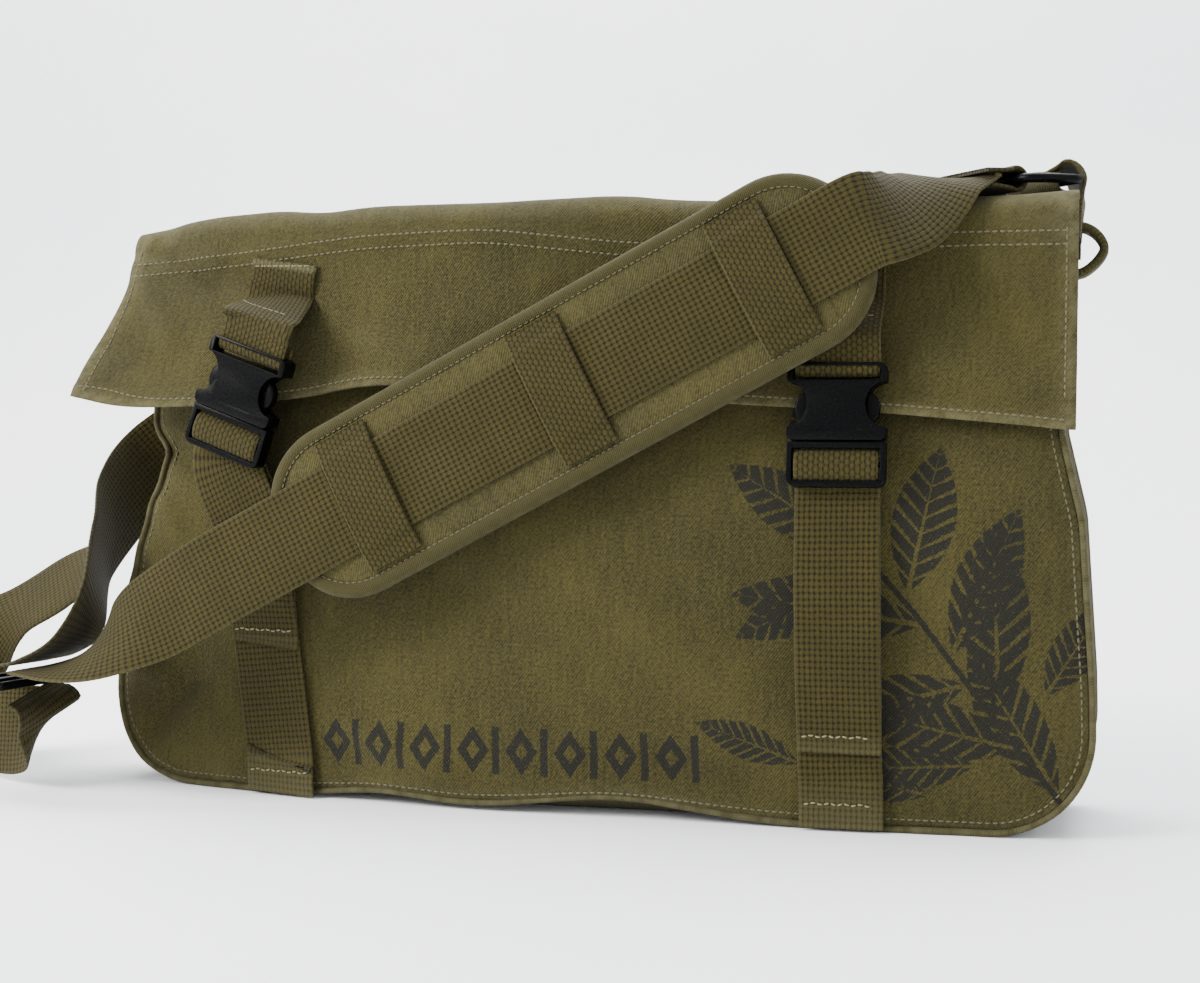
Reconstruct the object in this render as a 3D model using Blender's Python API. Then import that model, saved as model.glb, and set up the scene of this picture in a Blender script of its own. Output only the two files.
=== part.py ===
"""Canvas messenger bag: folded flap, two side-release buckles, padded shoulder strap.

Metres, +Z up. The origin is the middle of the bottom panel's underside. +X runs along the bag
towards its right end, and the flap faces -Y.
"""

import math

import bmesh
import bpy
from mathutils import Matrix, Vector

# Driving dimensions of the bag's body
HALF_WIDTH_TOP = {1: 0.2365, -1: 0.2335}
HALF_WIDTH_BOTTOM = {1: 0.2490, -1: 0.2425}
CORNER_RADIUS = 0.046
MOUTH_HEIGHT = 0.268
PANEL_THICKNESS = 0.002
GAP = 0.0004
FRONT_Y = -0.042
FRONT_LEAN = 0.026
BACK_Y = 0.045
BACK_LEAN = 0.009
LEFT_RECESS = 0.036
SEAM_INSET = 0.0031

# Flap
HINGE_Y = 0.036
HINGE_Z = 0.276
FLAP_TOP = 0.285
FLAP_START_Y = 0.0335
FLAP_LEFT = -0.2370
FLAP_RIGHT = 0.2375
FLAP_STANDOFF = 0.009
FLAP_FOLD_RADIUS = 0.012
FLAP_FLARE = 0.028
FLAP_SPREAD = 0.012
FLAP_LAYER = 0.0012

# Webbing and buckles
CLOSURE_WEBBING = 0.038
SHOULDER_WEBBING = 0.045
WEBBING_THICKNESS = 0.0014
STRAP_THICKNESS = 0.0018
BUCKLE_WIDTH = 0.044
BUCKLE_WINDOW = 0.0392
RECEPTACLE_DEPTH = 0.010
FRAME_DEPTH = 0.0074
RECEPTACLE_LENGTH = 0.0345
FRAME_LENGTH = 0.0200
WAIST_HALF = 0.0135
BAR_HALF = 0.0015
RECEPTACLE_TOP = 0.0022
FRAME_BAR = 0.0098
WINDOW_FLOOR = -0.0056
SOCKET_HALF = 0.0180
SOCKET_END = -0.0080
SOCKET_HALF_DEPTH = 0.0032
THROUGH = 0.01
RING_ROD = 0.00225
RING_HALF_LENGTH = 0.0300
RING_DEPTH = 0.027
RING_SQUARENESS = 0.40
RING_LEFT = Vector((-0.1930, 0.0500, 0.2560))
RING_GRIP = 0.006
LOOP_WIDTH = 0.020
LOOP_THICKNESS = 0.0026
RING_RIGHT = Vector((0.2200, 0.0230, 0.2935))
RING_YAW = math.radians(35)

# Closures: centre of the receptacle's webbing bar, and the tilt about Y of the hanging buckle
CLOSURES = {
    "right": {"bar": Vector((0.1350, -0.0480, 0.2075)), "tilt": 0.0, "yaw": 0.0, "lean": math.radians(-7)},
    "left": {
        "bar": Vector((-0.1480, -0.0420, 0.2170)),
        "tilt": math.radians(19),
        "yaw": math.radians(-10),
        "lean": math.radians(-2),
    },
}
CLOSURE_TOP = 0.262
TACK_HEIGHT = {"right": 0.0435, "left": 0.0820}
LAYER_OFFSET = {"right": 0.0022, "left": 0.0040}

# Shoulder strap: the straight stretch that carries the pad
PAD_TOP_END = Vector((0.119, -0.0580, 0.2570))
PAD_LOW_END = Vector((-0.103, -0.0680, 0.1376))
STRAIGHT_LENGTH = 0.3125
PAD_CENTRE = 0.123
PAD_LENGTH = 0.300
PAD_WIDTH = 0.078
PAD_CORNER = 0.033
PAD_THICKNESS = 0.0085
PAD_EDGE = 0.0018
KEEPER_CENTRES = (-0.104, 0.0, 0.104)
KEEPER_LENGTH = 0.027
KEEPER_SPAN = 0.062
SLIDER_CENTRE = Vector((-0.2760, -0.0440, 0.0545))
BAR_DIRECTION = Vector((0.243, 0.97, 0.0)).normalized()

COLOURS = {
    "canvas": ((0.098, 0.083, 0.032, 1), 0.85),
    "canvas_edge": ((0.060, 0.052, 0.024, 1), 0.85),
    "webbing": ((0.125, 0.100, 0.034, 1), 0.80),
    "plastic": ((0.008, 0.008, 0.009, 1), 0.38),
}


def clear_scene():
    for old in list(bpy.data.objects):
        bpy.data.objects.remove(old, do_unlink=True)


def material(name, slot):
    """A material of the object's own, in the colour of its slot."""
    colour, roughness = COLOURS[slot]
    made = bpy.data.materials.new(name)
    made.use_nodes = True
    shader = made.node_tree.nodes["Principled BSDF"]
    shader.inputs["Base Color"].default_value = colour
    shader.inputs["Roughness"].default_value = roughness
    shader.inputs["Metallic"].default_value = 0.0
    return made


def add_object(name, mesh_data, slot, matrix=None):
    mesh = bpy.data.meshes.new(name)
    bmesh.ops.recalc_face_normals(mesh_data, faces=mesh_data.faces)
    if mesh_data.calc_volume(signed=True) < 0:
        bmesh.ops.reverse_faces(mesh_data, faces=mesh_data.faces)
    mesh_data.to_mesh(mesh)
    mesh_data.free()
    made = bpy.data.objects.new(name, mesh)
    bpy.context.scene.collection.objects.link(made)
    mesh.materials.append(material(name, slot))
    if matrix is not None:
        made.matrix_world = matrix
    return made


def shell(name, outer, inner, slot, closed=False, matrix=None):
    """One closed solid between two grids of points. With closed, each grid's rows run round a ring."""
    data = bmesh.new()
    outer_verts = [[data.verts.new(point) for point in row] for row in outer]
    inner_verts = [[data.verts.new(point) for point in row] for row in inner]
    rows = len(outer)
    columns = len(outer[0])
    row_steps = range(rows if closed else rows - 1)
    for i in row_steps:
        over, over_next = outer_verts[i], outer_verts[(i + 1) % rows]
        under, under_next = inner_verts[i], inner_verts[(i + 1) % rows]
        for j in range(columns - 1):
            data.faces.new((over[j], over[j + 1], over_next[j + 1], over_next[j]))
            data.faces.new((under[j], under_next[j], under_next[j + 1], under[j + 1]))
        for j in (0, columns - 1):
            data.faces.new((over[j], over_next[j], under_next[j], under[j]))
    if not closed:
        for over, under in ((outer_verts[0], inner_verts[0]), (outer_verts[-1], inner_verts[-1])):
            for j in range(columns - 1):
                data.faces.new((over[j], over[j + 1], under[j + 1], under[j]))
    return add_object(name, data, slot, matrix)


def smooth_points(points, steps):
    """A smooth curve through the points, with this many samples between each two."""
    padded = [points[0] * 2 - points[1], *points, points[-1] * 2 - points[-2]]
    curve = []
    for i in range(1, len(padded) - 2):
        p0, p1, p2, p3 = padded[i - 1 : i + 3]
        for k in range(steps):
            t = k / steps
            linear = (p2 - p0) * t
            square = (2 * p0 - 5 * p1 + 4 * p2 - p3) * t**2
            cube = (3 * p1 - p0 - 3 * p2 + p3) * t**3
            curve.append(0.5 * (2 * p1 + linear + square + cube))
    curve.append(points[-1].copy())
    return curve


def ribbon(name, centres, across, width, thickness, slot="webbing"):
    """Flat webbing along a list of centres, with the direction of its width at each."""
    front = []
    back = []
    for i, centre in enumerate(centres):
        along = centres[min(i + 1, len(centres) - 1)] - centres[max(i - 1, 0)]
        side = (across[i] - along * (across[i].dot(along) / along.length_squared)).normalized()
        normal = along.cross(side).normalized() * (thickness / 2)
        edges = [centre - side * (width / 2), centre + side * (width / 2)]
        front.append([edge + normal for edge in edges])
        back.append([edge - normal for edge in edges])
    return shell(name, front, back, slot)


def smooth_ribbon(name, stations, width, thickness, steps=3):
    """A ribbon through hand-placed stations, each a centre and the direction of the width."""
    centres = smooth_points([Vector(centre) for centre, _ in stations], steps)
    across = smooth_points([Vector(side).normalized() for _, side in stations], steps)
    return ribbon(name, centres, across, width, thickness)


def extruded(name, outline, low, high, slot, matrix=None):
    """An outline of (x, z) points, given depth along Y from low to high."""
    data = bmesh.new()
    face = data.faces.new([data.verts.new((x, low, z)) for x, z in outline])
    grown = bmesh.ops.extrude_face_region(data, geom=[face])
    moved = [item for item in grown["geom"] if isinstance(item, bmesh.types.BMVert)]
    bmesh.ops.translate(data, vec=(0, high - low, 0), verts=moved)
    return add_object(name, data, slot, matrix)


def rectangle(x_low, x_high, z_low, z_high):
    return [(x_low, z_low), (x_high, z_low), (x_high, z_high), (x_low, z_high)]


def combine(target, other, operation):
    """Cuts or joins a helper solid, which stays out of the assembly."""
    other.hide_render = True
    other.display_type = "WIRE"
    change = target.modifiers.new(operation.lower(), "BOOLEAN")
    change.operation = operation
    change.object = other
    change.solver = "EXACT"


def smooth_step(value):
    clamped = min(max(value, 0.0), 1.0)
    return clamped * clamped * (3 - 2 * clamped)


# The body's surfaces


def front_surface(x, z):
    """Y of the front panel's outside: it leans back towards the mouth and recedes at the left end."""
    lean = FRONT_LEAN * smooth_step((z - 0.12) / 0.15)
    recess = LEFT_RECESS * (max(0.0, -x) / 0.24) ** 1.6
    bulge = 0.003 * math.sin(math.pi * min(max(z / 0.27, 0.0), 1.0)) + 0.004 * (1 - (x / 0.24) ** 2)
    return FRONT_Y + lean + recess - bulge


def back_surface(z):
    return BACK_Y - BACK_LEAN * smooth_step(z / 0.27)


def half_width(z, side):
    """Distance of the body's end from the middle: side is 1 for the right end and -1 for the left."""
    return HALF_WIDTH_BOTTOM[side] + (HALF_WIDTH_TOP[side] - HALF_WIDTH_BOTTOM[side]) * z / MOUTH_HEIGHT


def outline_bottom(distance, side, inset):
    """Height of the rounded outline's lower edge, this far from the middle."""
    radius = CORNER_RADIUS - inset
    reach = distance - (half_width(CORNER_RADIUS, side) - CORNER_RADIUS)
    if reach <= 0:
        return inset
    return CORNER_RADIUS - math.sqrt(max(radius**2 - min(reach, radius) ** 2, 0.0))


def end_path(side):
    """(distance from the middle, z) down one end of the outline and round its corner to the flat bottom."""
    path = []
    for step in range(6):
        z = MOUTH_HEIGHT + (CORNER_RADIUS - MOUTH_HEIGHT) * step / 5
        path.append((half_width(z, side), z))
    centre_x = half_width(CORNER_RADIUS, side) - CORNER_RADIUS
    for step in range(1, 10):
        angle = math.radians(90 * step / 9)
        out = CORNER_RADIUS * math.cos(angle)
        path.append((centre_x + out, CORNER_RADIUS - CORNER_RADIUS * math.sin(angle)))
    return path


def panel(name, surface, inward, slot):
    """A panel that fills the rounded outline. Inward is the side of its inner face along Y."""
    columns = 24
    rows = 9
    outer = []
    inner = []
    for j in range(columns + 1):
        share = -math.cos(math.pi * j / columns)
        side = 1 if share > 0 else -1
        column_outer = []
        column_inner = []
        reach = half_width(CORNER_RADIUS, side) - SEAM_INSET
        low = outline_bottom(abs(share) * reach, side, SEAM_INSET)
        for i in range(rows + 1):
            z = low + (MOUTH_HEIGHT - low) * i / rows
            x = share * (half_width(z, side) - SEAM_INSET)
            y = surface(x, z)
            column_outer.append(Vector((x, y, z)))
            column_inner.append(Vector((x, y + inward * PANEL_THICKNESS, z)))
        outer.append(column_outer)
        inner.append(column_inner)
    return shell(name, outer, inner, slot)


def gusset_rows(path, depth, side):
    """Points across the gusset, at one depth under its outside, between the two panels."""
    rows = []
    for index, (x, z) in enumerate(path):
        before = path[max(index - 1, 0)]
        after = path[min(index + 1, len(path) - 1)]
        along = Vector((after[0] - before[0], 0, after[1] - before[1])).normalized()
        outward = Vector((-along.z, 0, along.x))
        front = front_surface(side * x, z) + PANEL_THICKNESS + GAP
        back = back_surface(z) - PANEL_THICKNESS - GAP
        row = []
        for step in range(5):
            share = step / 4
            point = Vector((x, front + (back - front) * share, z)) - outward * depth
            point.x *= side
            row.append(point)
        rows.append(row)
    return rows


def gussets():
    for name, side in (("gusset_right", 1), ("gusset_left", -1)):
        path = end_path(side)
        shell(name, gusset_rows(path, 0.0, side), gusset_rows(path, PANEL_THICKNESS, side), "canvas")
    low_end = GAP - end_path(-1)[-1][0]
    high_end = end_path(1)[-1][0] - GAP
    outer = []
    inner = []
    for step in range(13):
        x = low_end + (high_end - low_end) * step / 12
        front = front_surface(x, 0.0) + PANEL_THICKNESS + GAP
        back = back_surface(0.0) - PANEL_THICKNESS - GAP
        ys = [front + (back - front) * share / 4 for share in range(5)]
        outer.append([Vector((x, y, 0.0)) for y in ys])
        inner.append([Vector((x, y, PANEL_THICKNESS)) for y in ys])
    shell("gusset_bottom", outer, inner, "canvas")


def seam_binding(name, surface, outward):
    """The bound seam allowance round a panel's edge. Outward is the side away from the bag along Y."""
    right = end_path(1)
    left = [(-x, z) for x, z in reversed(end_path(-1))]
    run = left[0][0] - right[-1][0]
    bottom = [(right[-1][0] + run * step / 12, 0.0) for step in range(1, 12)]
    path = right + bottom + left
    outer = []
    inner = []
    for index, (x, z) in enumerate(path):
        before = path[max(index - 1, 0)]
        after = path[min(index + 1, len(path) - 1)]
        along = Vector((after[0] - before[0], 0, after[1] - before[1])).normalized()
        out = Vector((-along.z, 0, along.x))
        y = surface(x, z)
        ys = (y + outward * 0.0014, y - outward * 0.0019)
        outer.append([Vector((x, value, z)) - out * 0.0003 for value in ys])
        inner.append([Vector((x, value, z)) - out * 0.0018 for value in ys])
    shell(name, outer, inner, "canvas_edge")


# Flap


def hem_height(x):
    return 0.196 - 0.03 * x - 0.12 * max(x, 0.0) * x


def flap_front(x, z, down):
    """Y of the flap's outside where it hangs. It stands off the panel and flares at the left end."""
    flare = FLAP_FLARE * (max(0.0, -x - 0.10) / 0.14) ** 1.5 * down
    return front_surface(x, z) - FLAP_STANDOFF - flare


def flap_profile(x, depth):
    """Points of the flap at x, from the hinge over the top and down to the hem, depth under its outside."""
    fold_z = FLAP_TOP - FLAP_FOLD_RADIUS
    fold_y = flap_front(x, fold_z, 0.0) + FLAP_FOLD_RADIUS
    points = []
    for step in range(4):
        share = step / 4
        points.append(Vector((x, FLAP_START_Y + (fold_y - FLAP_START_Y) * share, FLAP_TOP - depth)))
    radius = FLAP_FOLD_RADIUS - depth
    for step in range(5):
        angle = math.radians(90 + 90 * step / 4)
        points.append(Vector((x, fold_y + radius * math.cos(angle), fold_z + radius * math.sin(angle))))
    spread = FLAP_SPREAD * smooth_step((-x - 0.12) / 0.12)
    for step in range(1, 7):
        down = step / 6
        z = fold_z + (hem_height(x) - fold_z) * down
        points.append(Vector((x - spread * down, flap_front(x, z, down) + depth, z)))
    return points


def flap():
    for name, depth, inset in (("flap_panel", 0.0, 0.0), ("flap_lining", FLAP_LAYER + GAP, 0.002)):
        outer = []
        inner = []
        for j in range(25):
            x = FLAP_LEFT + inset + (FLAP_RIGHT - FLAP_LEFT - 2 * inset) * j / 24
            outer.append(flap_profile(x, depth))
            inner.append(flap_profile(x, depth + FLAP_LAYER))
        shell(name, outer, inner, "canvas")


# Closures


def closure_matrix(side):
    """Places a buckle whose own Z runs up its length from the receptacle's webbing bar."""
    spec = CLOSURES[side]
    turn = Matrix.Rotation(spec["yaw"], 4, "Z") @ Matrix.Rotation(spec["tilt"], 4, "Y")
    return Matrix.Translation(spec["bar"]) @ turn @ Matrix.Rotation(spec["lean"], 4, "X")


def flap_slope(x, z, down):
    """Direction across the flap's outside at x."""
    step = 0.002
    return Vector((2 * step, flap_front(x + step, z, down) - flap_front(x - step, z, down), 0)).normalized()


def flap_tab(side):
    """Webbing sewn down the flap that loops round the receptacle's bar."""
    matrix = closure_matrix(side)
    bar = CLOSURES[side]["bar"]
    loop_y = 0.0030
    loop = [(-loop_y, 0.017), (-loop_y, 0.007), (-loop_y, 0.0005), (-0.0021, -0.0026), (0, -0.0034)]
    loop += [(0.0021, -0.0026), (loop_y, 0.0005), (loop_y, 0.007)]
    round_bar = [matrix @ Vector((0, y, z)) for y, z in loop]
    bar_across = matrix.to_3x3() @ Vector((1, 0, 0))
    lift = 1.5 * WEBBING_THICKNESS + 2 * GAP
    fold_z = FLAP_TOP - FLAP_FOLD_RADIUS
    top_x = bar.x + 0.3 * (CLOSURE_TOP - bar.z) * math.tan(CLOSURES[side]["tilt"])
    sewn = []
    across = []
    for share in (0.0, 0.4):
        z = CLOSURE_TOP + (bar.z + 0.016 - CLOSURE_TOP) * share
        x = top_x + (bar.x - top_x) * share
        down = (fold_z - z) / (fold_z - hem_height(x))
        sewn.append(Vector((x, flap_front(x, z, down) - lift, z)))
        across.append(flap_slope(x, z, down))
    across += [bar_across] * len(round_bar)
    ribbon(f"flap_tab_{side}", sewn + round_bar, across, CLOSURE_WEBBING, WEBBING_THICKNESS)


def waist_outline(half, top, bottom):
    """Half-outline of the receptacle, right side, from the bottom up: ears with a concave waist between."""
    points = [(half - 0.0012, bottom), (half, bottom + 0.0012), (half, bottom + 0.0060)]
    middle = (bottom + 0.0060 + top - 0.0085) / 2
    reach = (top - 0.0085) - middle
    for step in range(7):
        angle = math.radians(-90 + 180 * step / 6)
        across = half - 0.0008 - (half - WAIST_HALF) * math.cos(angle)
        points.append((across, middle + reach * math.sin(angle)))
    points += [(half, top - 0.0085), (half, top - 0.0015), (half - 0.0015, top)]
    return points


def receptacle(side):
    """Female half of the buckle: a flat socket, open below and at the waist, with a webbing bar on top."""
    matrix = closure_matrix(side)
    top = RECEPTACLE_TOP
    bottom = top - RECEPTACLE_LENGTH
    half_depth = RECEPTACLE_DEPTH / 2
    right = waist_outline(BUCKLE_WIDTH / 2, top, bottom)
    outline = right + [(-x, z) for x, z in reversed(right)]
    body = extruded(f"receptacle_{side}", outline, -half_depth, half_depth, "plastic", matrix)
    half_window = BUCKLE_WINDOW / 2
    window = rectangle(-half_window, half_window, WINDOW_FLOOR, THROUGH)
    socket = rectangle(-SOCKET_HALF, SOCKET_HALF, bottom - THROUGH, SOCKET_END)
    bar = rectangle(-half_window - 0.001, half_window + 0.001, -BAR_HALF, BAR_HALF)
    for name, outline, depth, operation in (
        ("window_cutter", window, THROUGH, "DIFFERENCE"),
        ("socket_cutter", socket, SOCKET_HALF_DEPTH, "DIFFERENCE"),
        ("bar_helper", bar, BAR_HALF, "UNION"),
    ):
        helper = extruded(f"{name}_{side}", outline, -depth, depth, "plastic", matrix)
        combine(body, helper, operation)


def buckle_frame(side):
    """Male half's ladder frame, below the receptacle, with two webbing slots and a bar between them."""
    matrix = closure_matrix(side)
    top = RECEPTACLE_TOP - RECEPTACLE_LENGTH - 0.0006
    bottom = top - FRAME_LENGTH
    half = BUCKLE_WIDTH / 2
    half_depth = FRAME_DEPTH / 2
    chamfer = 0.0022
    outline = [
        (-half + chamfer, bottom),
        (half - chamfer, bottom),
        (half, bottom + chamfer),
        (half, top),
        (-half, top),
        (-half, bottom + chamfer),
    ]
    frame = extruded(f"buckle_frame_{side}", outline, -half_depth, half_depth, "plastic", matrix)
    half_window = BUCKLE_WINDOW / 2
    for name, low, high, front, back in (
        ("lower_slot", 0.0026, 0.0086, -THROUGH, THROUGH),
        ("upper_slot", 0.0112, FRAME_LENGTH - 0.0028, -THROUGH, THROUGH),
        ("bar_relief", 0.0080, 0.0118, -THROUGH, -0.0004),
    ):
        opening = rectangle(-half_window, half_window, bottom + low, bottom + high)
        cutter = extruded(f"{name}_cutter_{side}", opening, front, back, "plastic", matrix)
        combine(frame, cutter, "DIFFERENCE")
    fold = [(-0.0010, -0.0070), (-0.0016, -0.0030), (-0.0016, 0.0030), (-0.0008, 0.0052), (0.0010, 0.0060)]
    centre = bottom + FRAME_BAR
    centres = [matrix @ Vector((0, y, centre + z)) for y, z in fold]
    across = matrix.to_3x3() @ Vector((1, 0, 0))
    ribbon(f"strap_fold_{side}", centres, [across] * len(centres), CLOSURE_WEBBING, WEBBING_THICKNESS)


def prongs(side):
    """The two sprung prongs and the middle guide inside the socket. Each prong turns on its root."""
    matrix = closure_matrix(side)
    seam = RECEPTACLE_TOP - RECEPTACLE_LENGTH
    guide = rectangle(-0.0025, 0.0025, seam - 0.0002, seam + 0.0200)
    extruded(f"guide_{side}", guide, -0.0022, 0.0022, "plastic", matrix)
    arm = [
        (0.0105, 0.0000),
        (0.0150, 0.0000),
        (0.0152, 0.0060),
        (0.0176, 0.0105),
        (0.0176, 0.0180),
        (0.0155, 0.0215),
        (0.0120, 0.0215),
        (0.0128, 0.0140),
        (0.0112, 0.0060),
    ]
    for name, sign in (("outer", 1), ("inner", -1)):
        direction = sign if side == "right" else -sign
        root = Vector((direction * 0.0128, 0, seam))
        outline = [(direction * x - root.x, z) for x, z in arm]
        placed = matrix @ Matrix.Translation(root)
        extruded(f"prong_{side}_{name}", outline, -0.0024, 0.0024, "plastic", placed)


def behind_frame(side, below, further):
    """A point behind the male frame, this far below the receptacle's bar."""
    return closure_matrix(side) @ Vector((0, FRAME_DEPTH / 2 + 0.0016 + further, -below))


def lower_straps(side):
    """Anchored webbing up the front panel and its sewn-down tail, both passing behind the male frame."""
    anchor_x = {"right": 0.1370, "left": -0.1400}[side]
    tack_z = TACK_HEIGHT[side]
    ends = [Vector((x, front_surface(x, 0.05), 0)) for x in (anchor_x - 0.01, anchor_x + 0.01)]
    across_low = ends[1] - ends[0]
    across_top = closure_matrix(side).to_3x3() @ Vector((1, 0, 0))
    under_top = [behind_frame(side, below, LAYER_OFFSET[side]) for below in (0.058, 0.046)]
    tail_top = [behind_frame(side, below, 0.0) for below in (0.058, 0.046)]
    mid_x = (anchor_x + under_top[1].x) / 2
    standoff = 0.0018

    def on_panel(x, z, away):
        return Vector((x, front_surface(x, z) - standoff - away, z))

    tack_x = anchor_x + (mid_x - anchor_x) * 0.6
    under = [
        on_panel(anchor_x, 0.004, 0.0002),
        on_panel(anchor_x, 0.022, 0.0),
        on_panel(tack_x, tack_z, 0.0006),
        on_panel(mid_x, (tack_z + under_top[1].z) / 2, 0.0030),
        *under_top,
    ]
    tail = [
        on_panel(tack_x, tack_z - 0.006, 0.0030),
        on_panel(tack_x, tack_z + 0.004, 0.0034),
        on_panel(mid_x, (tack_z + tail_top[1].z) / 2, 0.0085),
        *tail_top,
    ]
    for name, points in ((f"lower_strap_{side}", under), (f"strap_tail_{side}", tail)):
        count = len(points) - 1
        across = [across_low.normalized().lerp(across_top, k / count) for k in range(count + 1)]
        centres = smooth_points(points, 3)
        sides = smooth_points(across, 3)
        ribbon(name, centres, sides, CLOSURE_WEBBING, STRAP_THICKNESS)


# Shoulder strap


def strap_frame():
    """Matrix of the pad: X down the strap, Y into the bag, Z across the strap, downwards."""
    along = (PAD_LOW_END - PAD_TOP_END).normalized()
    up_the_front = Vector((0, 0.12, 1))
    into = along.cross(up_the_front).normalized()
    if into.y < 0:
        into = -into
    across = along.cross(into)
    frame = Matrix((along, into, across)).transposed().to_4x4()
    return Matrix.Translation(PAD_TOP_END) @ frame


def ring_directions():
    """The right ring's straight bar and the way its bow points, towards the strap."""
    turn = Matrix.Rotation(RING_YAW, 3, "Z")
    return turn @ Vector((0, 1, 0)), turn @ Vector((-1, 0, 0))


def strap_front():
    """From the right ring over the flap, straight down through the pad, then turned flat to the slider."""
    frame = strap_frame()
    across = frame.to_3x3() @ Vector((0, 0, 1))
    low = frame @ Vector((STRAIGHT_LENGTH, 0, 0))
    bar, bow = ring_directions()
    rise = Vector((0, 0, 0.0010))
    leading = [
        (RING_RIGHT + bow * (RING_DEPTH + 0.0085) + rise, -bar),
        (RING_RIGHT + bow * (RING_DEPTH + 0.0145) + rise, -bar),
        (Vector((0.1765, -0.0165, 0.2925)), Vector((0.56, -0.75, -0.30))),
        (Vector((0.1700, -0.0300, 0.2860)), Vector((0.54, -0.55, -0.62))),
        (Vector((0.1630, -0.0440, 0.2780)), Vector((0.50, -0.28, -0.82))),
        (Vector((0.1545, -0.0535, 0.2740)), Vector((0.48, -0.13, -0.87))),
    ]
    shares = (-0.095, 0.0, 0.5, 0.95, 1.0)
    straight = [(frame @ Vector((STRAIGHT_LENGTH * share, 0, 0)), across) for share in shares]
    trailing = [
        (low + Vector((-0.030, 0.0010, -0.0170)), Vector((0.48, -0.25, -0.84))),
        (Vector((-0.2080, -0.0690, 0.0810)), Vector((0.40, -0.60, -0.68))),
        (Vector((-0.2330, -0.0610, 0.0680)), Vector((0.05, -0.96, -0.28))),
        (Vector((-0.2570, -0.0510, 0.0620)), -BAR_DIRECTION),
    ]
    smooth_ribbon("strap_front", leading + straight + trailing, SHOULDER_WEBBING, STRAP_THICKNESS)


def strap_runs():
    """The doubled part: from the slider's bar up to the left ring, round it, and back by the long way."""
    to_ring = Vector((1, 0, 0))
    near = RING_LEFT.y - RING_GRIP
    far = RING_LEFT.y + RING_GRIP
    back = [
        (SLIDER_CENTRE + Vector((0, 0, 0.0085)), BAR_DIRECTION),
        (Vector((-0.2590, -0.0470, 0.0665)), Vector((0.20, 0.98, 0.0))),
        (Vector((-0.2430, -0.0460, 0.0760)), Vector((0.0, 0.98, -0.1))),
        (Vector((-0.2370, -0.0380, 0.0930)), Vector((-0.2, 0.90, -0.4))),
        (Vector((-0.2470, -0.0100, 0.1180)), Vector((-0.20, 0.80, -0.55))),
        (Vector((-0.2515, 0.0200, 0.1400)), Vector((0.20, 0.85, -0.45))),
        (Vector((-0.2420, 0.0455, 0.1620)), Vector((0.70, 0.60, -0.35))),
        (Vector((-0.2180, 0.0510, 0.1790)), Vector((0.98, 0.10, -0.15))),
        (Vector((-0.1970, near + 0.0010, 0.1945)), to_ring),
        (Vector((RING_LEFT.x, near, 0.2050)), to_ring),
        (Vector((RING_LEFT.x, near, 0.2145)), to_ring),
    ]
    smooth_ribbon("strap_return", back, SHOULDER_WEBBING, STRAP_THICKNESS)
    loop = [
        (Vector((-0.2690, -0.0435, 0.0480)), BAR_DIRECTION),
        (Vector((-0.2625, -0.0425, 0.0430)), Vector((0.24, 0.96, 0.0))),
        (Vector((-0.2610, -0.0400, 0.0355)), Vector((0.22, 0.88, 0.25))),
        (Vector((-0.2700, -0.0360, 0.0300)), Vector((0.15, 0.50, 0.85))),
        (Vector((-0.2870, -0.0310, 0.0265)), Vector((0.08, 0.15, 0.98))),
        (Vector((-0.3120, -0.0220, 0.0262)), Vector((0, 0, 1))),
        (Vector((-0.3380, -0.0080, 0.0300)), Vector((0, 0, 1))),
        (Vector((-0.3520, 0.0120, 0.0420)), Vector((0, 0.1, 1))),
        (Vector((-0.3480, 0.0320, 0.0600)), Vector((0, 0.3, 0.95))),
        (Vector((-0.3280, 0.0440, 0.0780)), Vector((0, 0.7, 0.71))),
        (Vector((-0.3000, 0.0500, 0.0960)), Vector((0, 0.7, 0.71))),
        (Vector((-0.2740, 0.0580, 0.1180)), Vector((0.3, 0.75, 0.5))),
        (Vector((-0.2520, 0.0640, 0.1440)), Vector((0.75, 0.6, 0.2))),
        (Vector((-0.2260, 0.0640, 0.1690)), Vector((0.98, 0.2, 0))),
        (Vector((-0.1980, far + 0.0010, 0.1915)), to_ring),
        (Vector((RING_LEFT.x, far, 0.2040)), to_ring),
        (Vector((RING_LEFT.x, far, 0.2145)), to_ring),
    ]
    smooth_ribbon("strap_loop", loop, SHOULDER_WEBBING, STRAP_THICKNESS)
    rod_z = RING_LEFT.z - RING_DEPTH
    bend = [Vector((RING_LEFT.x, near, 0.2161)), Vector((RING_LEFT.x, near, rod_z - 0.0015))]
    for step in range(1, 6):
        angle = math.radians(180 - 180 * step / 6)
        reach = Vector((0, RING_GRIP * math.cos(angle), RING_GRIP * math.sin(angle)))
        bend.append(Vector((RING_LEFT.x, RING_LEFT.y, rod_z)) + reach)
    bend += [Vector((RING_LEFT.x, far, rod_z - 0.0015)), Vector((RING_LEFT.x, far, 0.2161))]
    ribbon("strap_end_left", bend, [to_ring] * len(bend), SHOULDER_WEBBING, STRAP_THICKNESS)
    bar, bow = ring_directions()
    rod = RING_RIGHT + bow * RING_DEPTH
    wrap = []
    for step in range(7):
        angle = math.radians(120 - 240 * step / 6)
        wrap.append(rod + (Vector((0, 0, math.sin(angle))) - bow * math.cos(angle)) * 0.0055)
    ribbon("strap_end_right", wrap, [bar] * len(wrap), SHOULDER_WEBBING, STRAP_THICKNESS)


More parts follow.
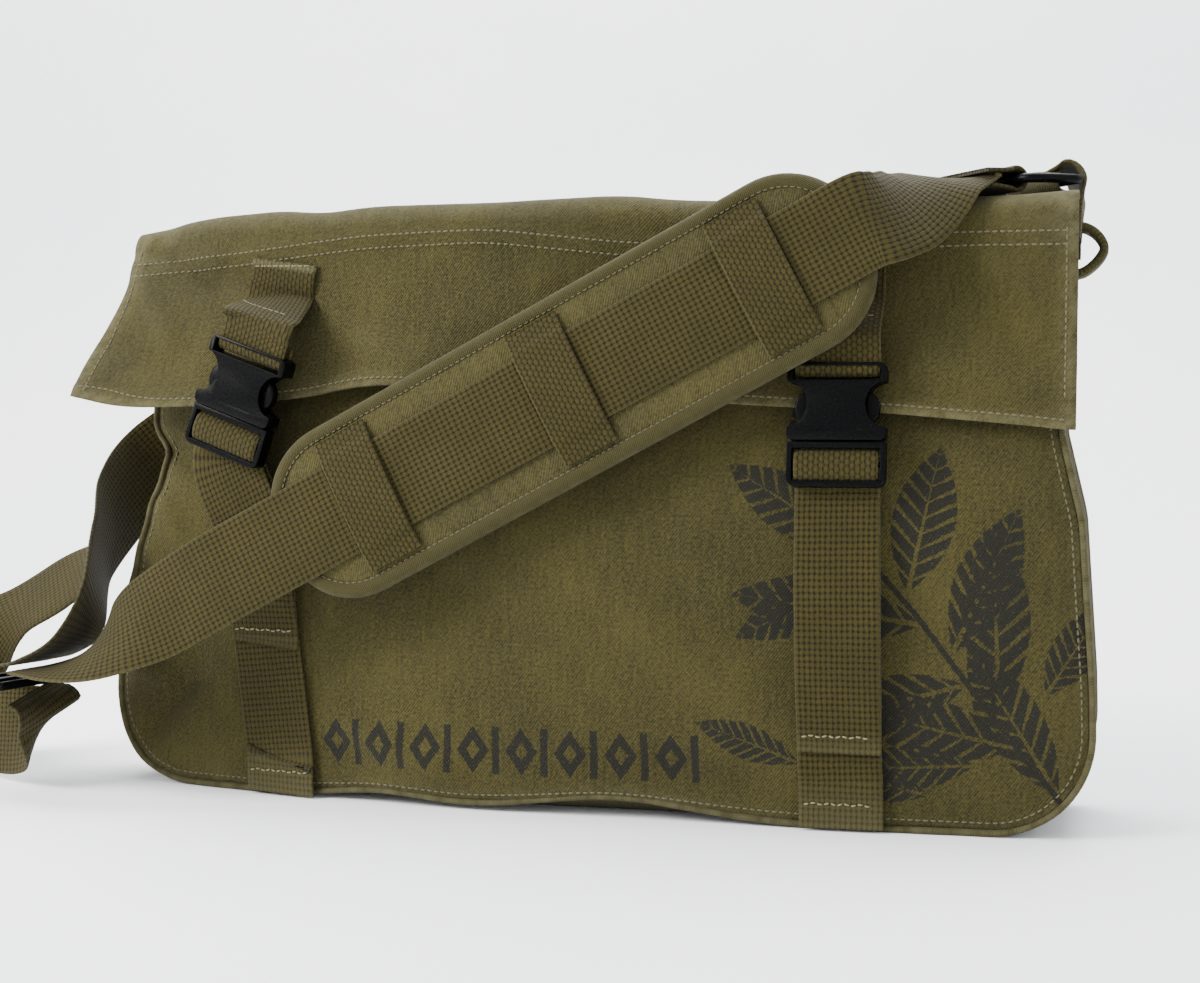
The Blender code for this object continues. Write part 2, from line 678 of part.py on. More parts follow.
def d_ring(name, origin, bar, bow):
    """A D-shaped ring whose straight bar passes through the origin. Bow points to the curved side."""
    path = [(-RING_HALF_LENGTH, 0.0), (0.0, 0.0), (RING_HALF_LENGTH, 0.0)]
    for step in range(1, 12):
        angle = math.pi * step / 12
        spread = math.copysign(abs(math.cos(angle)) ** RING_SQUARENESS, math.cos(angle))
        path.append((RING_HALF_LENGTH * spread, RING_DEPTH * math.sin(angle) ** RING_SQUARENESS))
    centres = [origin + bar * along + bow * away for along, away in path]
    sides = 8
    data = bmesh.new()
    rings = []
    for index, centre in enumerate(centres):
        along = (centres[(index + 1) % len(centres)] - centres[index - 1]).normalized()
        normal = bar.cross(bow)
        inward = along.cross(normal)
        ring = []
        for side in range(sides):
            angle = 2 * math.pi * side / sides
            offset = inward * math.cos(angle) + normal * math.sin(angle)
            ring.append(data.verts.new(centre + offset * RING_ROD))
        rings.append(ring)
    for index, ring in enumerate(rings):
        after = rings[(index + 1) % len(rings)]
        for side in range(sides):
            following = (side + 1) % sides
            data.faces.new((ring[side], ring[following], after[following], after[side]))
    made = add_object(name, data, "plastic")
    made.data.transform(Matrix.Translation(-origin))
    made.location = origin
    return made


def rings_and_tabs():
    across = Vector((0, 1, 0))
    bar, bow = ring_directions()
    d_ring("ring_right", RING_RIGHT, bar, bow)
    centres = [Vector((0.2392, 0.0230, 0.2790)), Vector((0.2385, 0.0230, 0.2880))]
    centres.append(Vector((0.2325, 0.0265, 0.2955)))
    sides = [across, across, (across + bar).normalized()]
    wrap = [(0.0050, 0.2984), (-0.0010, 0.2984), (-0.0048, 0.2955), (-0.0045, 0.2908), (-0.0010, 0.2886)]
    wrap.append((0.0040, 0.2886))
    for away, z in wrap:
        centres.append(Vector((RING_RIGHT.x, RING_RIGHT.y, z)) - bow * away)
        sides.append(bar)
    ribbon("ring_tab_right", centres, sides, CLOSURE_WEBBING, WEBBING_THICKNESS)
    along_bag = Vector((1, 0, 0))
    d_ring("ring_left", RING_LEFT, along_bag, Vector((0, 0, -1)))
    wrap = [(0.0392, 0.2300), (0.0390, 0.2480), (0.0405, 0.2575), (0.0450, 0.2618), (0.0505, 0.2618)]
    wrap += [(0.0548, 0.2585), (0.0550, 0.2540), (0.0515, 0.2510), (0.0460, 0.2515)]
    centres = [Vector((RING_LEFT.x, y, z)) for y, z in wrap]
    ribbon("ring_tab_left", centres, [along_bag] * len(centres), CLOSURE_WEBBING, WEBBING_THICKNESS)
    loop = [(0.2396, 0.2745), (0.2440, 0.2730), (0.2490, 0.2685), (0.2508, 0.2630), (0.2490, 0.2575)]
    loop += [(0.2440, 0.2532), (0.2400, 0.2520)]
    centres = [Vector((x, 0.0260, z)) for x, z in loop]
    ribbon("side_loop", centres, [across] * len(centres), LOOP_WIDTH, LOOP_THICKNESS, "canvas")


def slider():
    """Tri-glide slider: a flat frame with two slots and a middle bar, lying flat."""
    across = -BAR_DIRECTION
    along = Vector((0, 0, 1)).cross(across)
    frame = Matrix((along, Vector((0, 0, 1)), along.cross(Vector((0, 0, 1))))).transposed().to_4x4()
    matrix = Matrix.Translation(SLIDER_CENTRE) @ frame
    half_long = SHOULDER_WEBBING / 2 + 0.0045
    outline = rectangle(-0.0145, 0.0145, -half_long, half_long)
    body = extruded("slider_frame", outline, -0.0020, 0.0020, "plastic", matrix)
    for number, (low, high) in enumerate(((-0.0110, -0.0020), (0.0020, 0.0110))):
        window = rectangle(low, high, -SHOULDER_WEBBING / 2 - 0.001, SHOULDER_WEBBING / 2 + 0.001)
        cutter = extruded(f"slider_cutter_{number}", window, -0.01, 0.01, "plastic", matrix)
        combine(body, cutter, "DIFFERENCE")


def rounded_outline(length, width, radius):
    """A rectangle with round corners, as (x, z) points in order."""
    points = []
    for centre_x, centre_z, start in (
        (length / 2 - radius, width / 2 - radius, 0),
        (-length / 2 + radius, width / 2 - radius, 90),
        (-length / 2 + radius, -width / 2 + radius, 180),
        (length / 2 - radius, -width / 2 + radius, 270),
    ):
        for step in range(9):
            angle = math.radians(start + 90 * step / 8)
            points.append((centre_x + radius * math.cos(angle), centre_z + radius * math.sin(angle)))
    return points


def shoulder_pad():
    """Cushion behind the strap, its bound edge, and the three keepers that hold the strap on it."""
    matrix = strap_frame() @ Matrix.Translation((PAD_CENTRE, 0, 0))
    front = STRAP_THICKNESS / 2 + GAP
    back = front + PAD_THICKNESS
    outline = rounded_outline(PAD_LENGTH, PAD_WIDTH, PAD_CORNER)
    extruded("pad_cushion", outline, front, back, "canvas", matrix)
    inner_line = rounded_outline(PAD_LENGTH + 2 * GAP, PAD_WIDTH + 2 * GAP, PAD_CORNER + GAP)
    grow = 2 * (GAP + PAD_EDGE)
    outer_line = rounded_outline(PAD_LENGTH + grow, PAD_WIDTH + grow, PAD_CORNER + grow / 2)
    levels = (front + 0.0010, back - 0.0010)
    outer = [[Vector((x, y, z)) for y in levels] for x, z in outer_line]
    inner = [[Vector((x, y, z)) for y in levels] for x, z in inner_line]
    shell("pad_binding", outer, inner, "canvas_edge", closed=True, matrix=matrix)
    half = KEEPER_SPAN / 2
    strap_half = SHOULDER_WEBBING / 2
    lift = STRAP_THICKNESS / 2 + GAP
    foot = front - GAP
    skin = WEBBING_THICKNESS
    right_half = [(half, foot - skin), (half, foot)]
    right_half += [(strap_half + 0.0045, foot), (strap_half + 0.0012, -lift)]
    left_half = [(-z, y) for z, y in reversed(right_half)]
    shoulder = strap_half + 0.002
    over = right_half + left_half + [(-shoulder, -lift - skin), (shoulder, -lift - skin)]
    for number, offset in enumerate(KEEPER_CENTRES, start=1):
        data = bmesh.new()
        verts = [data.verts.new((offset - KEEPER_LENGTH / 2, y, z)) for z, y in over]
        face = data.faces.new(verts)
        grown = bmesh.ops.extrude_face_region(data, geom=[face])
        moved = [item for item in grown["geom"] if isinstance(item, bmesh.types.BMVert)]
        bmesh.ops.translate(data, vec=(KEEPER_LENGTH, 0, 0), verts=moved)
        add_object(f"pad_keeper_{number}", data, "webbing", matrix)


def pivot(name, location, pieces):
    """An empty on a joint's axis, with the pieces that move about it as its children."""
    empty = bpy.data.objects.new(name, None)
    empty.location = location
    bpy.context.scene.collection.objects.link(empty)
    for piece in pieces:
        child = bpy.data.objects[piece]
        child.parent = empty
        child.matrix_parent_inverse = Matrix.Translation(-location)


def moving_groups():
    """Hangs each moving group of pieces from an empty on its joint's axis."""
    hinge = Vector((0, HINGE_Y, HINGE_Z))
    closures = [f"{piece}_{side}" for side in CLOSURES for piece in ("flap_tab", "receptacle")]
    pivot("flap_hinge", hinge, ["flap_panel", "flap_lining", *closures])
    strap = ["strap_front", "strap_return", "strap_loop", "strap_end_right", "slider_frame"]
    pivot("strap_lift", hinge, strap)
    for side in CLOSURES:
        matrix = closure_matrix(side)
        pieces = [f"{piece}_{side}" for piece in ("buckle_frame", "strap_fold", "guide")]
        pivot(f"buckle_{side}_release", matrix.to_translation(), pieces)
    pad = ["pad_cushion", "pad_binding", *(f"pad_keeper_{n + 1}" for n in range(len(KEEPER_CENTRES)))]
    pivot("pad_slide", PAD_TOP_END, pad)
    pivot("ring_left_pivot", RING_LEFT, ["strap_end_left"])


def main():
    clear_scene()
    panel("front_panel", front_surface, 1, "canvas")
    panel("back_panel", lambda x, z: back_surface(z), -1, "canvas")
    gussets()
    seam_binding("front_binding", front_surface, -1)
    seam_binding("back_binding", lambda x, z: back_surface(z), 1)
    flap()
    for side in CLOSURES:
        flap_tab(side)
        receptacle(side)
        buckle_frame(side)
        prongs(side)
        lower_straps(side)
    strap_front()
    strap_runs()
    rings_and_tabs()
    slider()
    shoulder_pad()
    moving_groups()


main()
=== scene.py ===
"""Looks of the canvas messenger bag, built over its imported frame.

Metres, +Z up. +X runs along the bag towards its right end and the flap faces -Y. Every piece carries
a UV map in metres, so that weave and stitches keep their real size on each of them.
"""

import math

import bmesh
import bpy
import numpy as np
from mathutils import Matrix, Vector, noise
from mathutils.bvhtree import BVHTree


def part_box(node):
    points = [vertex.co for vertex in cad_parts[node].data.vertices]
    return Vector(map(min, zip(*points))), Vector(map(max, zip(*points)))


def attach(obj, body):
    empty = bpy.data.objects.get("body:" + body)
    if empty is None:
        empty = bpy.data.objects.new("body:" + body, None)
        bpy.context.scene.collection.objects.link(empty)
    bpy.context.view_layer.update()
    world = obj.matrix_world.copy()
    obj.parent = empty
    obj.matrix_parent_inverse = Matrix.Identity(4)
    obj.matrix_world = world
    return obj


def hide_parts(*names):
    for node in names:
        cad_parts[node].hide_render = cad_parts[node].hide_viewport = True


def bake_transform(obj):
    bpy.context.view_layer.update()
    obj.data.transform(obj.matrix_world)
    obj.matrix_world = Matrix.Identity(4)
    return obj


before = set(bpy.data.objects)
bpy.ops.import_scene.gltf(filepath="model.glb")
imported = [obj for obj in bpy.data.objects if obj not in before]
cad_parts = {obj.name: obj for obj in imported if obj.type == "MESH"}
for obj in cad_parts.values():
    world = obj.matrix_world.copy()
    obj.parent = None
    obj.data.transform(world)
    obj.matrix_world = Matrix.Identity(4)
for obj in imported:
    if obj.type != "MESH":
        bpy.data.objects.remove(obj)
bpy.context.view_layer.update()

# Body, as the frame has it
MOUTH_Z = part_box("front_panel")[1].z
FLAP_LOW, FLAP_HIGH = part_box("flap_panel")
FLAP_TOP = FLAP_HIGH.z
FLAP_LEFT_X = FLAP_LOW.x + 0.0115
FLAP_RIGHT_X = FLAP_HIGH.x
CORNER_RADIUS = 0.046
CANVAS = 0.0016
SEAM = 0.0026
FRONT_Y = -0.042
FRONT_LEAN = 0.026
BACK_Y = 0.045
BACK_LEAN = 0.009
LEFT_RECESS = 0.036

# Flap
FLAP_STANDOFF = 0.009
FLAP_FOLD = 0.012
FLAP_FLARE = 0.028
FLAP_SPREAD = 0.014
FLAP_CLOTH = 0.0013
FLAP_BACK_Z = 0.2600
HINGE = Vector((0.0, 0.036, 0.276))

# Webbing
CLOSURE_WEBBING = 0.038
SHOULDER_WEBBING = 0.045
WEBBING = 0.0018
TWILL_PITCH = 0.00115

# Stitching
SEAM_STITCH_INSET = 0.0062
HEM_STITCH_RISE = 0.0034
TOP_SEAM_HALF_GAP = 0.0030
PAD_STITCH_INSET = 0.0052
TACK_REACH = 0.0165

# Buckles and rings
SHARP_ANGLE = math.radians(40)
BEVEL_ANGLE = math.radians(35)
FRAME_CHAMFER = 0.0040
BUCKLE_WIDTH = 0.044
BUCKLE_WINDOW = 0.0392
RECEPTACLE_DEPTH = 0.010
RECEPTACLE_LENGTH = 0.0345
FRAME_DEPTH = 0.0074
FRAME_LENGTH = 0.0200
RECEPTACLE_TOP = 0.0022
WAIST_HALF = 0.0135
RING_ROD = 0.00225
RING_HALF_LENGTH = 0.0300
RING_DEPTH = 0.027
RING_LEFT = Vector((-0.1930, 0.0500, 0.2560))
RING_GRIP = 0.006
RING_RIGHT = Vector((0.2200, 0.0230, 0.2935))
RING_YAW = math.radians(35)
CLOSURES = {
    "right": {"bar": Vector((0.1350, -0.0480, 0.2075)), "tilt": 0.0, "yaw": 0.0, "lean": math.radians(-7)},
    "left": {
        "bar": Vector((-0.1480, -0.0420, 0.2170)),
        "tilt": math.radians(19),
        "yaw": math.radians(-10),
        "lean": math.radians(-2),
    },
}
CLOSURE_TOP = 0.262
TACK_Z = {"right": 0.0435, "left": 0.0820}
LAYER_OFFSET = {"right": 0.0022, "left": 0.0040}
ANCHOR_X = {"right": 0.1370, "left": -0.1400}

# Shoulder pad
PAD_TOP_END = Vector((0.119, -0.0580, 0.2570))
PAD_LOW_END = Vector((-0.103, -0.0680, 0.1376))
STRAIGHT_LENGTH = 0.3125
PAD_CENTRE = 0.123
PAD_LENGTH = 0.3040
PAD_WIDTH = 0.0810
PAD_CORNER = 0.035
PAD_THICKNESS = 0.0085
PAD_FRONT = 0.0013
KEEPER_CENTRES = (-0.104, 0.0, 0.104)
KEEPER_LENGTH = 0.027
KEEPER_SPAN = 0.066
SLIDER_CENTRE = Vector((-0.2760, -0.0440, 0.0545))
BAR_DIRECTION = Vector((0.243, 0.97, 0.0)).normalized()

# Camera
CAMERA_AT = Vector((0.2537, -0.9380, 0.1905))
CAMERA_TARGET = Vector((0.0134, 0.0, 0.1496))
CAMERA_LENS = 60.1


# Materials


class Finish:
    """A material and short ways to wire its nodes."""

    def __init__(self, name):
        self.material = bpy.data.materials.new(name)
        self.material.use_nodes = True
        self.nodes = self.material.node_tree.nodes
        self.links = self.material.node_tree.links
        self.shader = self.nodes["Principled BSDF"]

    def put(self, socket, value):
        if isinstance(value, bpy.types.NodeSocket):
            self.links.new(value, socket)
        else:
            socket.default_value = value

    def node(self, kind, inputs=(), **settings):
        made = self.nodes.new("ShaderNode" + kind)
        for key, value in settings.items():
            setattr(made, key, value)
        for key, value in dict(inputs).items():
            self.put(made.inputs[key], value)
        return made

    def math(self, operation, *values, clamp=False):
        made = self.node("Math", operation=operation, use_clamp=clamp)
        for socket, value in zip(made.inputs, values):
            self.put(socket, value)
        return made.outputs[0]

    def uv(self):
        return self.node("UVMap", uv_map="UVMap").outputs[0]

    def split(self, vector):
        made = self.node("SeparateXYZ", {0: vector})
        return made.outputs[0], made.outputs[1]

    def noise(self, vector, scale, detail=2.0, roughness=0.5):
        inputs = {"Vector": vector, "Scale": scale, "Detail": detail, "Roughness": roughness}
        return self.node("TexNoise", inputs).outputs[0]

    def spread(self, value, low, high, to_low=0.0, to_high=1.0, smooth=False):
        kind = "SMOOTHSTEP" if smooth else "LINEAR"
        inputs = {"Value": value, 1: low, 2: high, 3: to_low, 4: to_high}
        return self.node("MapRange", inputs, interpolation_type=kind, clamp=True).outputs[0]

    def stretched(self, vector, along_u, along_v):
        """The same vector with its first two parts scaled."""
        inputs = {0: vector, 1: (along_u, along_v, 1.0)}
        return self.node("VectorMath", inputs, operation="MULTIPLY").outputs[0]

    def jittered(self, vector, scale, reach):
        """The vector shifted a little by noise, which breaks up straight edges."""
        wander = self.node("TexNoise", {"Vector": vector, "Scale": scale, "Detail": 2.0}).outputs[1]
        shift = self.node("VectorMath", {0: wander, 1: (0.5, 0.5, 0.5)}, operation="SUBTRACT").outputs[0]
        moved = self.node("VectorMath", {0: shift, 1: (reach, reach, 0.0)}, operation="MULTIPLY").outputs[0]
        return self.node("VectorMath", {0: vector, 1: moved}, operation="ADD").outputs[0]

    def blend(self, factor, first, second, kind="MIX"):
        made = self.node("Mix", data_type="RGBA", blend_type=kind)
        for index, value in ((0, factor), (6, first), (7, second)):
            self.put(made.inputs[index], value)
        return made.outputs[2]

    def attribute(self, name):
        return self.node("Attribute", attribute_name=name).outputs["Fac"]

    def bump(self, height, distance, strength=1.0, under=None):
        inputs = {"Height": height, "Distance": distance, "Strength": strength}
        if under is not None:
            inputs["Normal"] = under
        return self.node("Bump", inputs).outputs[0]

    def finish(self, colour, roughness, normal=None, sheen=0.0, specular=0.5):
        self.put(self.shader.inputs["Base Color"], colour)
        self.put(self.shader.inputs["Roughness"], roughness)
        self.put(self.shader.inputs["Specular IOR Level"], specular)
        self.put(self.shader.inputs["Metallic"], 0.0)
        self.put(self.shader.inputs["Sheen Weight"], sheen)
        self.put(self.shader.inputs["Sheen Roughness"], 0.5)
        if normal is not None:
            self.put(self.shader.inputs["Normal"], normal)
        return self.material


CANVAS_DARK = (0.0145, 0.0125, 0.0036, 1)
CANVAS_LIGHT = (0.053, 0.046, 0.0115, 1)
CANVAS_WORN = (0.108, 0.098, 0.050, 1)
WEB_LIGHT = (0.048, 0.039, 0.0085, 1)
WEB_MID = (0.017, 0.0138, 0.0030, 1)
WEB_HOLE = (0.0032, 0.0027, 0.0010, 1)
INK = (0.0066, 0.0068, 0.0060, 1)
THREAD_COLOUR = (0.120, 0.104, 0.052, 1)

# Printed leaves: base x, base z, heading in degrees, length, half-width
LEAVES = (
    (0.232, 0.020, 122, 0.075, 0.0130),
    (0.214, 0.040, 168, 0.078, 0.0135),
    (0.206, 0.056, 92, 0.082, 0.0150),
    (0.192, 0.068, 196, 0.074, 0.0125),
    (0.186, 0.082, 66, 0.070, 0.0135),
    (0.172, 0.094, 172, 0.086, 0.0150),
    (0.166, 0.108, 78, 0.066, 0.0140),
    (0.150, 0.116, 206, 0.068, 0.0120),
    (0.146, 0.126, 148, 0.072, 0.0130),
    (0.134, 0.138, 110, 0.058, 0.0115),
    (0.226, 0.064, 58, 0.048, 0.0100),
    (0.196, 0.032, 184, 0.060, 0.0100),
    (0.118, 0.030, 160, 0.050, 0.0080),
    (0.176, 0.018, 170, 0.056, 0.0085),
)
STEM = ((0.238, 0.010), (0.205, 0.052), (0.170, 0.098), (0.128, 0.146))
STEM_HALF = 0.0013
BAND_LEFT, BAND_RIGHT = -0.118, 0.073
BAND_LOW, BAND_HIGH = 0.018, 0.041
BAND_CELL = 0.0239


def leaf_field(f, place, leaf):
    """Positive inside one pointed leaf, with a bare midrib."""
    x, z, heading, length, half = leaf
    mapping = f.node("Mapping", {"Vector": place}, vector_type="TEXTURE")
    mapping.inputs["Location"].default_value = (x, z, 0)
    mapping.inputs["Rotation"].default_value = (0, 0, math.radians(heading))
    mapping.inputs["Scale"].default_value = (length, half, 1)
    along, off = f.split(mapping.outputs[0])
    aside = f.math("ABSOLUTE", off)
    edge = f.math("MULTIPLY", f.math("MULTIPLY", along, f.math("SUBTRACT", 1.0, along)), 4.0)
    blade = f.math("GREATER_THAN", f.math("SUBTRACT", edge, aside), 0.0)
    rib = f.math("GREATER_THAN", aside, f.math("MULTIPLY", f.math("SUBTRACT", 1.0, along), 0.09))
    veins = f.math("SINE", f.math("MULTIPLY", f.math("ADD", along, f.math("MULTIPLY", aside, -0.16)), 58.0))
    kept = f.math("GREATER_THAN", f.math("ADD", veins, f.math("MULTIPLY", aside, -0.5)), -0.93)
    return f.math("MULTIPLY", blade, f.math("MULTIPLY", rib, kept))


def stem_field(f, place):
    """Positive inside the printed stem."""
    inside = 0.0
    for (x0, z0), (x1, z1) in zip(STEM, STEM[1:]):
        length = math.hypot(x1 - x0, z1 - z0)
        mapping = f.node("Mapping", {"Vector": place}, vector_type="TEXTURE")
        mapping.inputs["Location"].default_value = (x0, z0, 0)
        mapping.inputs["Rotation"].default_value = (0, 0, math.atan2(z1 - z0, x1 - x0))
        along, off = f.split(mapping.outputs[0])
        within = f.math("MULTIPLY", f.math("GREATER_THAN", along, -0.001), f.math("LESS_THAN", along, length))
        stroke = f.math("LESS_THAN", f.math("ABSOLUTE", off), STEM_HALF)
        inside = f.math("MAXIMUM", inside, f.math("MULTIPLY", within, stroke))
    return inside


def band_field(f, place):
    """Positive inside a plain border of diamonds and bars."""
    x, z = f.split(place)
    within = f.math("MULTIPLY", f.math("GREATER_THAN", x, BAND_LEFT), f.math("LESS_THAN", x, BAND_RIGHT))
    cell = f.math("FRACT", f.math("DIVIDE", f.math("SUBTRACT", x, BAND_LEFT), BAND_CELL))
    height = f.spread(z, BAND_LOW, BAND_HIGH, -1.0, 1.0)
    tall = f.math("LESS_THAN", f.math("ABSOLUTE", height), 0.98)
    sideways = f.math("ABSOLUTE", f.math("MULTIPLY", f.math("SUBTRACT", cell, 0.40), 3.0))
    upright = f.math("ABSOLUTE", height)
    ring = f.math("ADD", sideways, upright)
    diamond = f.math("MULTIPLY", f.math("LESS_THAN", ring, 0.98), f.math("GREATER_THAN", ring, 0.40))
    bar = f.math("LESS_THAN", f.math("ABSOLUTE", f.math("SUBTRACT", cell, 0.87)), 0.075)
    shapes = f.math("MAXIMUM", diamond, bar)
    return f.math("MULTIPLY", within, f.math("MULTIPLY", tall, shapes))


def ink_mask(f, uv):
    """Where the print's ink lies, with slightly broken edges and worn spots."""
    place = f.jittered(uv, 700.0, 0.0016)
    mask = stem_field(f, place)
    for leaf in LEAVES:
        mask = f.math("MAXIMUM", mask, leaf_field(f, place, leaf))
    mask = f.math("MAXIMUM", mask, band_field(f, place))
    worn = f.spread(f.noise(uv, 1500.0, 3.0, 0.6), 0.30, 0.46)
    return f.math("MULTIPLY", mask, f.math("MULTIPLY", worn, 0.93))


def canvas(name, printed=False, dark=1.0):
    """Washed cotton canvas: a fine plain weave, faded unevenly and paler where the 'wear' attribute says."""
    f = Finish(name)
    uv = f.uv()
    u, v = f.split(uv)
    slope = f.math("SUBTRACT", f.math("MULTIPLY", u, 0.80), f.math("MULTIPLY", v, 0.60))
    weave = f.math("SINE", f.math("MULTIPLY", slope, 2 * math.pi / TWILL_PITCH))
    cloudy = f.noise(uv, 13.0, 4.0, 0.55)
    streaks = f.noise(f.stretched(uv, 1.0, 0.12), 420.0)
    grain = f.noise(uv, 1400.0, 2.0, 0.6)
    slubs = f.noise(uv, 720.0, 2.0, 0.7)
    tone = f.math("ADD", f.math("MULTIPLY", cloudy, 0.90), f.math("MULTIPLY", streaks, 0.45))
    tone = f.math("ADD", tone, f.math("MULTIPLY", slubs, 1.90))
    tone = f.math("ADD", tone, f.math("MULTIPLY", grain, 0.70))
    tone = f.math("ADD", tone, f.math("MULTIPLY", weave, 0.12))
    tone = f.spread(tone, 1.60, 2.35)
    colour = f.blend(tone, CANVAS_DARK, CANVAS_LIGHT)
    wear = f.attribute("wear")
    rubbed = f.math("MULTIPLY", wear, f.spread(f.noise(uv, 170.0, 4.0, 0.65), 0.36, 0.62, 0.25, 1.0))
    colour = f.blend(f.math("MULTIPLY", rubbed, 0.62, clamp=True), colour, CANVAS_WORN)
    if printed:
        colour = f.blend(ink_mask(f, uv), colour, INK)
    fleck = f.math("GREATER_THAN", f.noise(uv, 620.0, 1.0), 0.757)
    colour = f.blend(f.math("MULTIPLY", fleck, 0.35), colour, CANVAS_WORN)
    # dark below 1 darkens the whole canvas: a painted-shade copy, used on the flap's inner layer, which lies
    # in the flap's own shade.
    if dark != 1.0:
        colour = f.blend(1.0, colour, (dark, dark, dark, 1), "MULTIPLY")
    crumple = f.bump(f.noise(uv, 55.0, 3.0, 0.6), 0.0014, 0.55)
    normal = f.bump(f.math("ADD", f.math("MULTIPLY", weave, 0.5), grain), 0.00022, 0.8, crumple)
    return f.finish(colour, f.spread(grain, 0.2, 0.8, 0.80, 0.96), normal, sheen=0.03, specular=0.15)


def webbing(name, across_pitch, along_pitch, stagger=0.0):
    """Heavy cotton webbing: thick ribs crossing in a grid, with a dark hole at each crossing's corner."""
    f = Finish(name)
    uv = f.uv()
    u, v = f.split(f.jittered(uv, 260.0, 0.0010))
    column = f.math("DIVIDE", u, across_pitch)
    odd = f.math("MODULO", f.math("FLOOR", column), 2.0)
    row = f.math("ADD", f.math("DIVIDE", v, along_pitch), f.math("MULTIPLY", odd, stagger))
    gap_u = f.math("ABSOLUTE", f.math("COSINE", f.math("MULTIPLY", column, math.pi)))
    gap_v = f.math("ABSOLUTE", f.math("COSINE", f.math("MULTIPLY", row, math.pi)))
    hole = f.spread(f.math("MULTIPLY", gap_u, gap_v), 0.52, 1.0)
    groove = f.spread(f.math("MAXIMUM", gap_u, gap_v), 0.70, 1.0)
    fibres = f.noise(f.stretched(uv, 1.0, 0.45), 2200.0)
    cloudy = f.noise(uv, 38.0, 3.0)
    lit = f.math("MULTIPLY", f.spread(fibres, 0.30, 0.72, 0.35, 1.0), f.spread(cloudy, 0.3, 0.7, 0.55, 1.0))
    colour = f.blend(lit, WEB_MID, WEB_LIGHT)
    colour = f.blend(f.math("MULTIPLY", groove, 0.55), colour, WEB_MID)
    colour = f.blend(f.math("MULTIPLY", hole, 0.85), colour, WEB_HOLE)
    wear = f.attribute("wear")
    colour = f.blend(f.math("MULTIPLY", wear, 0.5, clamp=True), colour, CANVAS_WORN)
    sunk = f.math("ADD", f.math("MULTIPLY", groove, 0.35), f.math("MULTIPLY", hole, 0.65))
    relief = f.math("SUBTRACT", 1.0, sunk)
    normal = f.bump(f.math("ADD", relief, f.math("MULTIPLY", fibres, 0.25)), 0.0007, 0.9)
    return f.finish(colour, 0.85, normal, sheen=0.03, specular=0.12)


def twill_tape(name):
    """Bias tape: a fine diagonal twill."""
    f = Finish(name)
    uv = f.uv()
    u, v = f.split(uv)
    diagonal = f.math("SINE", f.math("MULTIPLY", f.math("ADD", u, v), 2 * math.pi / 0.0012))
    grain = f.noise(uv, 1500.0, 2.0, 0.6)
    tone = f.math("ADD", f.math("MULTIPLY", diagonal, 0.22), f.math("MULTIPLY", grain, 0.9))
    colour = f.blend(f.spread(tone, 0.15, 0.85), CANVAS_DARK, CANVAS_LIGHT)
    wear = f.attribute("wear")
    rubbed = f.math("MULTIPLY", wear, f.spread(f.noise(uv, 150.0, 3.0), 0.35, 0.6, 0.3, 1.0))
    colour = f.blend(f.math("MULTIPLY", rubbed, 0.55, clamp=True), colour, CANVAS_WORN)
    normal = f.bump(f.math("ADD", f.math("MULTIPLY", diagonal, 0.5), grain), 0.0003, 0.8)
    return f.finish(colour, 0.88, normal, sheen=0.03, specular=0.15)


def satin_plastic(name):
    """Moulded acetal, black and slightly scuffed."""
    f = Finish(name)
    uv = f.uv()
    scuffs = f.noise(uv, 900.0, 3.0, 0.65)
    colour = f.blend(f.spread(scuffs, 0.45, 0.8), (0.0011, 0.0012, 0.0013, 1), (0.0034, 0.0034, 0.0036, 1))
    normal = f.bump(scuffs, 0.00008, 0.5)
    return f.finish(colour, f.spread(scuffs, 0.3, 0.75, 0.24, 0.40), normal, specular=0.06)


def thread(name, shade):
    """Spun thread with its twist."""
    f = Finish(name)
    u, v = f.split(f.uv())
    twist = f.math("SINE", f.math("MULTIPLY", f.math("ADD", u, v), 2 * math.pi / 0.0007))
    pale = tuple(channel * shade for channel in THREAD_COLOUR[:3]) + (1,)
    deep = tuple(channel * shade * 0.45 for channel in THREAD_COLOUR[:3]) + (1,)
    colour = f.blend(f.spread(twist, -1.0, 0.6), deep, pale)
    return f.finish(colour, 0.75, f.bump(twist, 0.0001, 0.6), sheen=0.1, specular=0.3)


def backdrop_finish():
    """White cloth on the table, faintly mottled, with soft creases."""
    f = Finish("backdrop")
    uv = f.uv()
    soft = f.noise(uv, 3.0, 3.0, 0.5)
    colour = f.blend(f.spread(soft, 0.3, 0.7), (0.88, 0.90, 0.925, 1), (0.95, 0.955, 0.96, 1))
    return f.finish(colour, 0.75, f.bump(soft, 0.02, 0.25), specular=0.3)


CANVAS_FINISH = canvas("canvas_plain")
CANVAS_PRINTED = canvas("canvas_printed", printed=True)
# Painted shade: the same canvas darkened to three quarters for the flap's inner layer, which lies in shade
# under the flap.
CANVAS_INSIDE_PAINTED_SHADE = canvas("canvas_lining_painted_shade", dark=0.75)
WEBBING_FINISH = webbing("webbing_wide", 0.0024, 0.0028)
RIB_FINISH = webbing("webbing_rib", 0.0023, 0.0031, stagger=0.5)
TAPE_FINISH = twill_tape("bias_tape")
PLASTIC_FINISH = satin_plastic("black_plastic")
THREAD_FINISH = thread("thread_olive", 1.0)
THREAD_PALE = thread("thread_pale", 2.0)


# Mesh building


